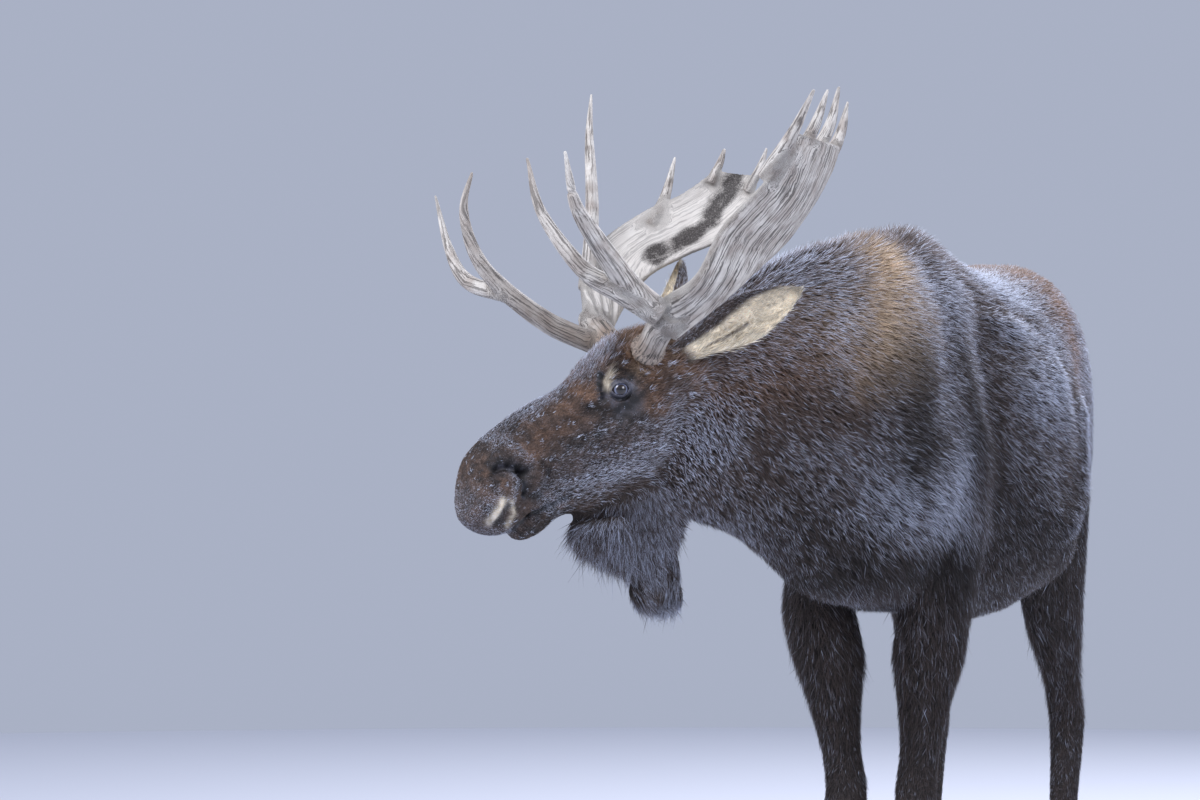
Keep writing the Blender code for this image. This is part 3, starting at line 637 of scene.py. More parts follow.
@dataclass(frozen=True)
class AntlerBone:
    """Hard antler: bare dead bone, rubbed pale on its edges and points and stained brown by bark in its
    grooves. It is matt, with fine lengthwise channels where the blood vessels ran."""

    pale: str = "cfc9c0"
    ground: str = "a2978d"
    stain: str = "332b25"
    dark: str = "2d2622"
    burr: str = "83705f"
    channel: float = 4.0 * MM
    roughness: float = 0.62

    def material(self) -> bpy.types.Material:
        """The antler."""
        made, paint = new_material("antler_bone", {"Roughness": self.roughness, "IOR": 1.54})
        axes = {place: paint.read(name) for place, name in enumerate(("around", "growth", "third"))}
        grain = add_node(paint.tree, "CombineXYZ", {}, axes).outputs[0]
        channels = {"Scale": 1 / self.channel, "Detail": 3.0, "Roughness": 0.6}
        streaks = add_node(paint.tree, "TexNoise", channels, {"Vector": grain}).outputs["Fac"]
        blotch = paint.speckle(35 * MM, 4.0)
        fine = paint.speckle(2.5 * MM, 2.0)
        base = paint.mixed(paint.mapped(blotch, 0.35, 0.65), self.ground, self.pale)
        base = paint.mixed(paint.read("clean"), base, self.pale)
        base = paint.mixed(paint.read("burr"), base, self.burr)
        soiled = paint.reckon("MULTIPLY", paint.mapped(streaks, 0.47, 0.59), paint.read("stain"))
        base = paint.mixed(soiled, base, self.stain)
        patch = paint.reckon("MULTIPLY", paint.mapped(blotch, 0.25, 0.5), paint.read("patch"))
        edge = paint.reckon("ADD", patch, paint.mapped(fine, 0.3, 0.7, -0.25, 0.25), clamp=True)
        edge = paint.reckon("MULTIPLY", edge, paint.mapped(paint.read("patch"), 0.02, 0.2))
        colour = paint.mixed(edge, base, self.dark)
        paint.feed({"Base Color": colour, "Normal": paint.bump(streaks, 2.0 * MM, 0.9)})
        return made


@dataclass(frozen=True)
class HoofHorn:
    """Hoof: dark keratin horn, worn and dusty, with growth rings 7 mm apart and a dull polish."""

    horn: str = "2a2523"
    worn: str = "5c534d"
    ring_pitch: float = 7.0 * MM
    roughness: float = 0.48

    def material(self) -> bpy.types.Material:
        """The hoof."""
        made, paint = new_material("hoof_horn", {"Roughness": self.roughness, "IOR": 1.55})
        place = add_node(paint.tree, "TexCoord").outputs["Object"]
        scale = math.tau / (20 * self.ring_pitch)
        waves = {"bands_direction": "Z", "Scale": scale, "Distortion": 2.5, "Detail": 2.0}
        rings = add_node(paint.tree, "TexWave", waves, {"Vector": place}).outputs["Fac"]
        wear = paint.speckle(12 * MM, 4.0)
        colour = paint.mixed(paint.mapped(wear, 0.45, 0.75), self.horn, self.worn)
        paint.feed({"Base Color": colour, "Normal": paint.bump(rings, 0.8 * MM, 0.5)})
        return made


@dataclass(frozen=True)
class WetEye:
    """A dark brown eye under a clear wet cornea: a long level pupil, a brown iris, and a grey ring where the
    iris meets the white, partly the limbus and partly a painted reflection. The cornea gives sharp
    highlights."""

    pupil: str = "040405"
    iris: str = "1d130f"
    # The ring's grey is partly the limbus and partly a painted reflection.
    ring: str = "6a7088"

    def material(self) -> bpy.types.Material:
        """The eye."""
        cornea = {"Roughness": 0.22, "IOR": 1.38, "Coat Weight": 1.0, "Coat Roughness": 0.02}
        made, paint = new_material("wet_cornea", cornea)
        colour = paint.mixed(paint.read("limbus"), self.iris, self.ring)
        paint.feed({"Base Color": paint.mixed(paint.read("pupil"), colour, self.pupil)})
        return made


@dataclass(frozen=True)
class PaleFloor:
    """A plain painted studio floor, matt and pale."""

    paint_colour: str = "c6c9d2"

    def material(self) -> bpy.types.Material:
        """The floor."""
        paint = {"Base Color": linear(self.paint_colour), "Roughness": 0.85, "IOR": 1.4}
        return new_material("floor_paint", paint)[0]


# ---- The studio
class Lamp(NamedTuple):
    """A soft square light: where it stands, how wide it is, its power in watts and its colour."""

    place: tuple
    width: float
    power: float
    colour: str


@dataclass
class Studio:
    """The camera, the floor and the soft lights."""

    azimuth: float = 13.0
    elevation: float = 2.0
    distance: float = 18.0
    lens: float = 234.5
    shoulder: Vector = field(default_factory=lambda: WITHERS + Vector((0, 0, 1.3)))
    aim: Vector = field(default_factory=lambda: Vector((-0.352, -0.324, 1.496)))
    lamp_aim: Vector = field(default_factory=lambda: Vector((0, 0, 1.3)))
    floor_radius: float = 11.0
    sky: str = "d2dbf3"
    sky_strength: float = 0.62
    lamps: tuple = (
        Lamp((-5.0, -6.0, 7.0), 5.0, 900.0, "f4f6ff"),
        Lamp((7.0, -3.5, 5.0), 4.0, 420.0, "eef2ff"),
        Lamp((1.5, 7.5, 6.5), 5.0, 800.0, "f2f4ff"),
    )

    def place_camera(self) -> None:
        """Sets the camera at its angle, aimed so that the animal is framed with room ahead of its nose."""
        camera = bpy.data.cameras.new("camera")
        camera.lens = self.lens
        camera.clip_end = 200.0
        made = add_object("camera", camera)
        turn, rise = math.radians(self.azimuth), math.radians(self.elevation)
        back = Vector((math.sin(turn) * math.cos(rise), -math.cos(turn) * math.cos(rise), math.sin(rise)))
        made.location = self.shoulder + back * self.distance
        aim_at(made, self.aim)
        bpy.context.scene.camera = made

    def light(self) -> None:
        """Adds the pale surroundings and the lamps, all aimed at the shoulder."""
        world = bpy.data.worlds.new("studio")
        world.use_nodes = True
        sky = world.node_tree.nodes["Background"]
        sky.inputs["Color"].default_value = linear(self.sky)
        sky.inputs["Strength"].default_value = self.sky_strength
        bpy.context.scene.world = world
        bpy.context.scene.view_settings.view_transform = "Standard"
        for index, lamp in enumerate(self.lamps):
            light = bpy.data.lights.new(f"softbox_{index}", "AREA")
            light.size = lamp.width
            light.energy = lamp.power
            light.color = linear(lamp.colour)[:3]
            made = add_object(light.name, light)
            made.location = lamp.place
            aim_at(made, self.lamp_aim)
            made.visible_camera = False

    def lay_floor(self) -> None:
        """Adds the floor."""
        bm = bmesh.new()
        bmesh.ops.create_circle(bm, cap_ends=True, segments=128, radius=self.floor_radius)
        mesh = bpy.data.meshes.new("floor")
        bm.to_mesh(mesh)
        bm.free()
        floor = add_object("floor", mesh)
        floor.data.materials.append(PaleFloor().material())


# ---- The body's forms
def cross_sections(*rows: Sequence[float]) -> list[Section]:
    """Cross-sections from rows in millimetres, apart from how square their halves are."""
    return [Section(*(size / 1000 for size in row[:6]), *row[6:]) for row in rows]


def coated(sections: Sequence[Section], depths: Sequence[float]) -> list[Section]:
    """Cross-sections with the coat's depth on them, given in millimetres at even steps from first to last."""
    places = np.linspace(0, len(depths) - 1, len(sections))
    laid = np.interp(places, np.arange(len(depths)), depths)
    return [section._replace(coat=float(depth) * MM) for section, depth in zip(sections, laid)]


@dataclass
class Torso:
    """The trunk, the neck and the tail. Heights are in millimetres."""

    hump_top: float = 1900
    croup_top: float = 1805
    belly_low: float = 950

    def trunk(self) -> Form:
        """The trunk, from the brisket over the hump to the rump."""
        sections = cross_sections(
            (0, -370, 1200, 60, 100, 80),
            (0, -300, 1220, 150, 260, 170),
            (0, -160, 1250, 200, 480, 235),
            (0, 0, 1270, 215, 618, 270),
            (0, 140, 1280, 225, self.hump_top - 1274, 285),
            (0, 300, 1280, 240, 608, 300),
            (0, 460, 1280, 280, 560, 315),
            (0, 660, 1280, 320, 520, 1280 - self.belly_low, 2.2),
            (0, 860, 1290, 300, 510, 320, 2.5),
            (0, 1030, 1320, 274, 485, 290, 2.7),
            (0, 1170, 1360, 252, self.croup_top - 1360, 270, 2.7),
            (0, 1300, 1390, 228, 385, 260, 2.6),
            (0, 1410, 1410, 170, 270, 210),
            (0, 1460, 1410, 80, 120, 120),
        )
        depths = (22, 24, 22, 18, 16, 16, 16, 18, 18)
        return loft(coated(sections, depths), Area.TRUNK, facing=BACKWARD, count=64).placed(BODY_FRAME)

    def neck_sections(self) -> list[Section]:
        """The neck, which leaves the shoulders straight ahead and bends to the right."""
        return cross_sections(
            (0, 60, 1450, 150, 440, 360, 1.9),
            (-10, -120, 1460, 190, 444, 430, 1.9),
            (-50, -260, 1470, 185, 425, 435, 1.8),
            (-115, -380, 1485, 168, 382, 395, 1.8),
            (-200, -480, 1490, 150, 315, 318, 1.8),
            (-290, -565, 1490, 135, 245, 262, 1.8),
            (-360, -625, 1500, 120, 185, 220, 1.9),
            (-420, -670, 1500, 90, 120, 170, 2),
        )

    def neck(self) -> Form:
        """The neck's form."""
        depths = (24, 26, 24, 20, 14, 8)
        return loft(coated(self.neck_sections(), depths), Area.NECK, count=64).placed(BODY_FRAME)

    def tail(self) -> Form:
        """The short tail, flat against the rump."""
        sections = cross_sections(
            (0, 1390, 1560, 30, 22, 22),
            (0, 1445, 1530, 34, 26, 26),
            (0, 1480, 1470, 32, 24, 24),
            (0, 1490, 1410, 22, 18, 18),
            (0, 1488, 1370, 8, 7, 7),
        )
        made = loft(coated(sections, (4, 12, 12, 8, 2)), Area.TAIL, up=Vector((0, 1, 0.2)), count=20)
        return made.placed(BODY_FRAME)

    def forms(self) -> list[Form]:
        """All three."""
        return [self.trunk(), self.neck(), self.tail()]


@dataclass
class Skull:
    """The head with its long muzzle and overhanging lip, the lower jaw, and the bell under the throat."""

    pedicle_radius: float = 38  # in millimetres

    def skull(self) -> Form:
        """The skull."""
        sections = cross_sections(
            (-150, 0, -120, 60, 60, 80),
            (-115, 0, -110, 95, 105, 120),
            (-50, 0, -90, 108, 125, 150),
            (25, 0, -80, 112, 134, 170, 2.2),
            (90, 0, -70, 116, 113, 180, 2.4),
            (145, 0, -70, 106, 97, 170, 2.4),
            (205, 0, -70, 86, 94, 150, 2.2),
            (275, 0, -70, 74, 105, 120),
            (350, 0, -70, 70, 106, 100),
            (410, 0, -70, 78, 98, 105, 2.1, 2.2),
            (460, 0, -75, 83, 87, 108, 2.2, 2.3),
            (500, 0, -85, 74, 62, 85, 2.1, 2.2),
            (528, 0, -93, 52, 36, 52),
            (543, 0, -97, 24, 15, 20),
        )
        depths = (10, 7, 4, 3, 2.5, 2, 1.5)
        return loft(coated(sections, depths), Area.HEAD, facing=NOSEWARD, count=64).placed(HEAD)

    def jaw(self) -> Form:
        """The lower jaw."""
        sections = cross_sections(
            (-60, 0, -190, 55, 60, 50),
            (0, 0, -190, 82, 80, 85),
            (90, 0, -190, 80, 80, 88),
            (180, 0, -190, 66, 70, 82),
            (270, 0, -185, 54, 55, 70),
            (345, 0, -182, 45, 40, 40),
            (405, 0, -185, 45, 30, 40),
            (445, 0, -190, 40, 20, 28),
            (464, 0, -192, 22, 10, 12),
        )
        depths = (9, 8, 7, 6, 4, 2.5, 1.5)
        return loft(coated(sections, depths), Area.HEAD, facing=NOSEWARD, count=48).placed(HEAD)

    def bell(self) -> Form:
        """The bell: a deep flap that ends in a hanging lock."""
        sections = cross_sections(
            (10, 0, -260, 50, 110, 110),
            (6, 0, -340, 52, 145, 150),
            (4, 0, -405, 50, 150, 148),
            (-10, 0, -445, 45, 130, 120),
            (-45, 0, -475, 40, 94, 90),
            (-62, 0, -510, 38, 76, 72),
            (-64, 0, -545, 38, 82, 80),
            (-68, 0, -566, 32, 66, 62),
            (-72, 0, -577, 12, 30, 30),
        )
        depths = (12, 16, 18, 18, 17, 16, 15, 14, 8)
        made = loft(coated(sections, depths), Area.BELL, up=NOSEWARD, facing=DOWNWARD, count=48)
        return made.placed(LEVEL)

    def pedicles(self) -> list[Form]:
        """The hair-covered stalks of bone that carry the antlers."""
        radius = self.pedicle_radius
        line = ((15, -60), (50, -36), (78, -18), (96, -6))
        made = []
        for side in (1, -1):
            sections = cross_sections(*((0, side * out, up, radius, radius, radius) for out, up in line))
            made.append(loft(sections, Area.HEAD, up=NOSEWARD, count=24).placed(LEVEL))
        return made

    def forms(self) -> list[Form]:
        """All of them."""
        return [self.skull(), self.jaw(), self.bell(), *self.pedicles()]


@dataclass
class Legs:
    """The four legs, from the shoulder and the hip down to the coronet. The hind right one is a step ahead.
    Sizes are in millimetres."""

    knee: float = 570
    hock: float = 690
    fetlock: float = 190
    coronet: float = 88
    fore_set: float = -85
    fore_coronet: float = -105
    hind_coronet: float = 1218
    hind_foot: float = 150
    left_elbow: float = 122
    left_knee: float = 90
    right_elbow: float = 148
    right_knee: float = 76
    hind_stride: float = 200
    swing: tuple = (1300, 300)  # the heights between which a stride carries the hind leg forward

    def foreleg(self, elbow: float, knee: float) -> list[Section]:
        """A left foreleg with its elbow and knee that far from the middle."""
        back = self.fore_set
        return cross_sections(
            (105, 140, 1680, 45, 70, 70),
            (130, 100, 1520, 70, 130, 130),
            (142, 40, 1340, 78, 170, 170),
            (142, 0, 1180, 82, 170, 180),
            (elbow, back + 55, 1030, 90, 140, 160),
            (0.7 * elbow + 0.3 * knee, back + 45, 920, 90, 105, 110),
            (0.45 * elbow + 0.55 * knee, back + 35, 810, 67, 85, 85),
            (0.2 * elbow + 0.8 * knee, back + 25, 700, 50, 62, 62),
            (knee, back + 15, self.knee + 50, 50, 55, 55),
            (knee, back + 10, self.knee - 20, 51, 58, 52),
            (knee, back + 18, self.knee - 100, 39, 43, 43),
            (knee, back + 20, 340, 35, 42, 42),
            (knee, back + 20, 250, 37, 44, 44),
            (knee, back + 14, self.fetlock, 46, 52, 50),
            (knee, back - 4, 130, 45, 50, 46),
            (knee, self.fore_coronet, self.coronet, 50, 54, 50),
            (knee, self.fore_coronet - 2, self.coronet - 8, 45, 50, 45),
        )

    def hindleg(self, stride: float) -> list[Section]:
        """The left hind leg with its foot that far ahead of where it stands square."""
        hip, floor = self.swing
        foot = self.hind_foot
        rows = (
            (100, 1200, 1620, 70, 120, 100),
            (135, 1160, 1440, 105, 200, 170),
            (145, 1130, 1260, 106, 225, 200),
            (148, 1110, 1110, 98, 195, 180),
            (foot, 1140, 990, 84, 145, 135),
            (foot + 2, 1200, 880, 66, 98, 92),
            (foot + 2, 1270, 780, 50, 66, 66),
            (foot + 2, 1325, self.hock, 47, 62, 66),
            (foot + 2, 1320, self.hock - 90, 42, 50, 52),
            (foot, 1300, 480, 37, 45, 46),
            (foot, 1282, 340, 35, 44, 44),
            (foot, 1270, 250, 37, 45, 45),
            (foot, 1255, self.fetlock, 45, 52, 50),
            (foot, 1235, 130, 44, 49, 46),
            (foot, self.hind_coronet, self.coronet, 49, 53, 50),
            (foot, self.hind_coronet - 2, self.coronet - 8, 44, 49, 45),
        )
        swung = [min(max((hip - row[2]) / (hip - floor), 0), 1) * math.pi / 2 for row in rows]
        return cross_sections(*(
            (x, y - stride * math.sin(turn), *rest) for (x, y, *rest), turn in zip(rows, swung)
        ))

    def forms(self) -> list[Form]:
        """All four legs. A ring's rise is to the front and its drop to the back."""
        depths = (18, 18, 16, 14, 10, 6, 5, 4, 3.5, 3, 1.5)
        legs = (
            (Area.FORELEG, self.foreleg(self.left_elbow, self.left_knee)),
            (Area.FORELEG, mirrored(self.foreleg(self.right_elbow, self.right_knee))),
            (Area.HINDLEG, self.hindleg(0.0)),
            (Area.HINDLEG, mirrored(self.hindleg(self.hind_stride))),
        )
        return [
            loft(coated(sections, depths), area, up=FORWARD, facing=DOWNWARD).placed(BODY_FRAME)
            for area, sections in legs
        ]


# ---- The eyes
# How far out from the opening to the hide a ring of the lids lies, its height over the ball in millimetres,
# and the share of its height taken from the hide.
LID_BAND = (
    (0.02, -3.5, 0.0),
    (0.00, 0.4, 0.0),
    (0.03, 2.4, 0.0),
    (0.14, 3.6, 0.0),
    (0.32, 3.2, 0.2),
    (0.50, 1.6, 0.6),
    (0.72, 0.4, 0.9),
    (1.00, -4.0, 1.0),
    (0.60, -8.0, 0.8),
    (0.20, -6.0, 0.0),
)


@dataclass
class Eye:
    """One eye with its lids, in a frame of its own: +X along the opening to the nose, +Z out of the head."""

    side: int
    radius: float = 0.0195
    centre: tuple = (0.102, 0.0955, -0.038)
    gaze: tuple = (0.20, 1.0, 0.06)
    slant: float = math.radians(26)
    half_length: float = 0.0185
    half_height: float = 0.0140
    lid_reach: tuple = (0.031, 0.028)
    pupil_half: tuple = (0.0062, 0.0034)
    iris_radius: float = 0.0132
    ring_width: float = 0.0016
    cornea_bulge: float = 0.045
    frame: Matrix = field(default_factory=Matrix)

    def __post_init__(self) -> None:
        """Works out the eye's frame."""
        outward = Vector((self.gaze[0], self.side * self.gaze[1], self.gaze[2])).normalized()
        along = Vector((math.cos(self.slant), 0, math.sin(self.slant)))
        along = (along - outward * along.dot(outward)).normalized()
        upward = along.cross(outward) * self.side
        turn = Matrix((along, upward, outward)).transposed().to_4x4()
        place = Vector((self.centre[0], self.side * self.centre[1], self.centre[2]))
        self.frame = HEAD @ Matrix.Translation(place) @ turn

    @property
    def name(self) -> str:
        """The CAD node that it stands for."""
        return "eye_left" if self.side > 0 else "eye_right"

    def local(self, points: Points) -> Points:
        """Points in the eye's frame."""
        return within(self.frame, points)

    def ball(self, slot: str) -> bpy.types.Object:
        """The eyeball with its cornea, pupil and ring."""
        rings, count = 40, 48
        fall = np.linspace(0.001, math.pi - 0.001, rings)[:, None]
        turn = (np.arange(count) * math.tau / count)[None, :]
        bulge = 1 + self.cornea_bulge * np.exp(-((fall / 0.5) ** 2))
        points = np.stack([
            np.sin(fall) * np.cos(turn) * bulge,
            np.sin(fall) * np.sin(turn) * bulge,
            np.cos(fall) * bulge + 0 * turn,
        ], axis=-1).reshape(-1, 3) * (self.radius - 0.0003)
        points = np.vstack([points, [[0, 0, points[0, 2]], [0, 0, points[-1, 2]]]])
        placed = moved(self.frame, points)
        mesh = new_mesh(self.name + "_ball", placed, faced_out(placed, ring_faces(rings, count)))
        oval = np.hypot(*(points[:, axis] / half for axis, half in enumerate(self.pupil_half)))
        reach = np.hypot(points[:, 0], points[:, 1])
        front = ramp(points[:, 2], 0.0, 0.004)
        store(mesh, "pupil", (1 - ramp(oval, 0.85, 1.1)) * front)
        # The ring round the iris, which the material colours partly as a painted reflection.
        store(mesh, "limbus", np.exp(-(((reach - self.iris_radius) / self.ring_width) ** 2)) * front)
        made = add_object(self.name + "_wet", mesh)
        unwrap(made)
        mesh.materials.append(WetEye().material())
        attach(made, BODY)
        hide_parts(self.name)
        return made

    def bowl(self, points: Points) -> Points:
        """The hide's points near the eye, drawn back behind the ball."""
        local = self.local(points)
        out = np.hypot(local[:, 0], local[:, 1])
        near = (out < 0.030) & (local[:, 2] > -0.005)
        floor = np.sqrt(np.maximum(self.radius**2 - np.minimum(out, self.radius) ** 2, 0)) - 0.0035
        floor = floor + 0.022 * np.clip((out - 0.019) / 0.011, 0, 1) ** 2
        local[:, 2] = np.where(near, np.minimum(local[:, 2], floor), local[:, 2])
        return np.where(near[:, None], moved(self.frame, local), points)

    def lids(self, skin: Points) -> Form:
        """Both lids as one closed band round the opening.

        Args:
            skin: points of the hide round the eye, which the band runs out under.

        Returns:
            The band.
        """
        count = 56
        turn = np.arange(count) * math.tau / count
        across, upward = np.cos(turn), np.sin(turn)
        pointed = 1 - 0.25 * np.abs(across) ** 6
        opening = np.column_stack([
            self.half_length * across,
            self.half_height * np.sign(upward) * np.abs(upward) ** 1.15 * pointed
            * np.where(upward > 0, 1.0, 0.88),
        ])
        around = np.column_stack([across, upward])
        hood = np.clip(upward, 0, 1)
        local = self.local(skin)
        level = local * np.array([1, 1, 0])
        rows = []
        for share, over, hide in LID_BAND:
            flat = opening * (1 - share) + around * np.array(self.lid_reach) * share
            ball = np.sqrt(np.maximum(self.radius**2 - (flat**2).sum(1), 0.006**2))
            ground = local[nearest_of(np.column_stack([flat, np.zeros(count)]), level), 2]
            lift = over * MM * (1 + 0.5 * hood * (over > 0) * (share < 0.4))
            height = ball * (1 - hide) + ground * hide + lift
            rows.append(np.column_stack([flat, height]))
        points = moved(self.frame, np.vstack(rows))
        faces = faced_out(points, ring_sides(len(rows), count, closed=True))
        lie = turned(HEAD, np.tile([-1.0, 0, 0], (len(points), 1)))
        return Form(points, faces, lie, np.zeros(len(points)), np.zeros(len(points)), Area.HEAD)


# ---- The ears
# Share of the ear's length, its half width and the depth of its cup there in millimetres, and how far the
# cup is filled.
EAR_PROFILE = (
    (-0.22, 18, 26, 1.0),
    (0.00, 27, 36, 1.0),
    (0.15, 35, 42, 0.8),
    (0.32, 47, 42, 0.1),
    (0.52, 53, 36, 0.0),
    (0.74, 40, 25, 0.0),
    (0.90, 21, 13, 0.0),
    (0.985, 6, 5, 0.0),
)


@dataclass
class Ear:
    """A cupped ear: where it grows, where it points and where its opening faces, in the antlers' frame."""

    name: str
    root: tuple
    tip: tuple
    faces: tuple
    wall: float = 0.0055
    coat: float = 0.0035
    ridge: float = 0.012
    fluff: float = 0.007

    def form(self) -> tuple[Form, Points]:
        """The ear as one closed leaf.

        Returns:
            The form, and for each of its points how far it is on the inside of the cup, except along
            the crease of its fold, where brown hair paints shade.
        """
        root, tip = np.array(self.root), np.array(self.tip)
        axis = unit(tip - root)
        face = np.array(self.faces)
        face = unit(face - axis * (face @ axis))
        side = np.cross(axis, face)
        reach = np.linalg.norm(tip - root)
        profile = blended(EAR_PROFILE, 6)
        profile[:, 1:3] *= MM
        across = 31
        angles = np.linspace(-math.pi / 2, math.pi / 2, across)
        high = np.sin(angles) * math.copysign(1, side[2])
        rings, dark, coats = [], [], []
        for share, half, depth, fill in profile:
            centre = root + axis * (share * reach)
            hollow = depth * np.cos(angles)[:, None]
            outer = centre + side * (half * np.sin(angles))[:, None] - face * hollow
            curl = 0.004 * np.abs(np.sin(angles))[:, None] ** 6 * face
            wall = np.maximum(self.wall, fill * hollow)
            wall = wall + self.ridge * math.exp(-(((share - 0.34) / 0.16) ** 2)) * (
                np.exp(-(((high + 0.35 - 0.6 * share) / 0.11) ** 2))[:, None]
            )
            inner = outer + face * wall + side * (-0.0015 * np.sin(angles))[:, None] + curl
            rings.append(np.vstack([outer, inner[::-1]]))
            # The crease of the ear's fold is left out of the cream inside, so that brown hair paints shade
            # there.
            crease = np.exp(-(((high + 0.52 - 0.6 * share) / 0.07) ** 2)) * (0.12 < share < 0.5)
            edge = ramp(high - 0.15 - 1.1 * max(share - 0.25, 0.0), 0.0, 0.3)
            dark.append(np.r_[np.ones(across), np.maximum(edge, crease)[::-1]])
            fluff = np.tile(ramp(high, 0.1, 0.8) * math.exp(-(((share - 0.25) / 0.3) ** 2)), 2)
            coats.append(self.coat + self.fluff * fluff)
        count = 2 * across
        centres = [rings[0].mean(0), rings[-1].mean(0)]
        points = np.vstack([*rings, centres])
        inside = np.r_[1 - np.concatenate(dark), 0, 0]
        share = np.r_[np.repeat(profile[:, 0], count), profile[0, 0], profile[-1, 0]]
        faces = ring_faces(len(rings), count)
        along = np.tile(axis, (len(points), 1))
        faces = faced_out(points, faces)
        coat = np.r_[np.concatenate(coats), self.coat, self.coat]
        made = Form(points, faces, along, coat, share, Area.EAR).placed(LEVEL)
        return made, inside * ramp(share, -0.08, 0.06)


# ---- Folds and markings
class Stroke(NamedTuple):
    """A fold or a marking along a line, seen in the head's frame or the body's, with its half width. A fold's
    amount is how deep it is pressed in, and a marking's is its strength. Below nought the fold is a ridge
    and the marking is wiped away. Lines, widths and depths are in millimetres."""

    line: tuple
    width: float
    amount: float

    def gap(self, points: Points) -> Points:
        """How far each point is from the line, in metres."""
        return segment_distance(points, np.array(self.line) / 1000)

    def press(self, gap: Points) -> Points:
        """How strongly it works at that distance, from 0 to 1."""
        return np.exp(-((np.maximum(gap, 0) / (self.width * MM)) ** 2))


def strokes(*rows: tuple) -> list[Stroke]:
    """One stroke for each row."""
    return [Stroke(*row) for row in rows]


HEAD_FOLDS = strokes(
    (((116, 6), (133, -9), (145, -31)), 7, 12),  # the slit before the eye
    (((92, 7), (111, -7), (124, -24)), 6, -3),
    (((64, -44), (74, -16), (84, 4)), 7, 5),  # hollow above the eye
    (((46, -40), (60, -6), (90, 18), (122, 16)), 10, -7),  # brow
    (((85, -82), (135, -80)), 18, 5),  # hollow below the eye
    (((158, -36), (184, -44)), 14, 5),
    (((135, -108), (200, -108), (280, -114)), 15, -6),  # the bone below the eye
    (((180, -40), (250, -55), (330, -60)), 22, 6),
    (((50, -180), (120, -190)), 46, -6),  # cheek
    (((240, -155), (330, -150)), 20, 4),
    (((432, -33), (414, -39), (396, -56), (387, -74)), 12, 21),  # nostril
    (((387, -74), (396, -95), (410, -117)), 8, 10),
    (((401, 14), (383, 4), (373, -15), (370, -40), (362, -63)), 9, -6),
    (((415, -66), (419, -85), (436, -99), (452, -114), (455, -134)), 7, -5.5),
    (((464, -99), (485, -110), (505, -122)), 7, -5),  # the lip's pale rim
    (((462, -113), (486, -128), (503, -137)), 6, 7),
    (((370, -100), (364, -106)), 17, -8),  # the bulge behind the nostril
    (((410, -120), (380, -136), (348, -130), (335, -113), (338, -85)), 7, 7),
    (((500, -180), (479, -177), (453, -170), (417, -168)), 6, 9),  # mouth
    (((417, -168), (379, -174), (345, -182), (315, -186)), 5, 8),
    (((500, -162), (451, -154), (395, -158), (350, -168)), 8, -4),
    (((450, -190), (390, -194), (340, -200)), 9, -3),
    (((340, -235), (290, -256), (224, -278)), 11, 12),  # between jaw and bell
)
# Folds of skin that run down and back over the ribs.
RIB_FOLDS = strokes(*(
    (((320, 1750 - 115 * k), (480, 1630 - 115 * k), (660, 1510 - 110 * k), (880, 1380 - 100 * k)), 25, -24)
    for k in range(4)
))
BODY_FOLDS = strokes(
    (((235, 1840), (255, 1700), (250, 1500), (225, 1320), (185, 1150), (160, 1020)), 34, 38),
    (((320, 1780), (330, 1600), (320, 1300), (300, 1100)), 95, 24),  # behind the shoulder
    (((100, 1800), (135, 1600), (135, 1400), (120, 1150)), 75, -10),  # shoulder
    (((-100, 1580), (-120, 1460)), 70, 10),  # before the shoulder blade
    (((30, 1220), (-200, 1170)), 30, 9),  # above the elbow
    (((860, 1620), (930, 1450), (980, 1250)), 60, 12),  # hollow before the hip
    (((930, 1700), (970, 1690)), 34, -8),  # hip
    (((880, 1260), (950, 1080)), 26, 9),  # before the thigh
) + RIB_FOLDS
NECK_FOLDS = strokes(
    (((-150, -600, 1520), (-158, -607, 1420), (-150, -590, 1320)), 16, 14),
    (((-60, -515, 1560), (-32, -501, 1480), (-27, -477, 1360)), 13, 17),
    (((30, -430, 1580), (23, -434, 1520), (15, -442, 1400)), 13, 15),
    (((-90, -520, 1360), (-71, -506, 1305), (-39, -468, 1285)), 14, 15),
    (((-370, -360, 1560), (-360, -340, 1420), (-340, -340, 1320)), 18, 14),
    (((-320, -270, 1580), (-310, -260, 1430), (-290, -260, 1300)), 18, 14),
)


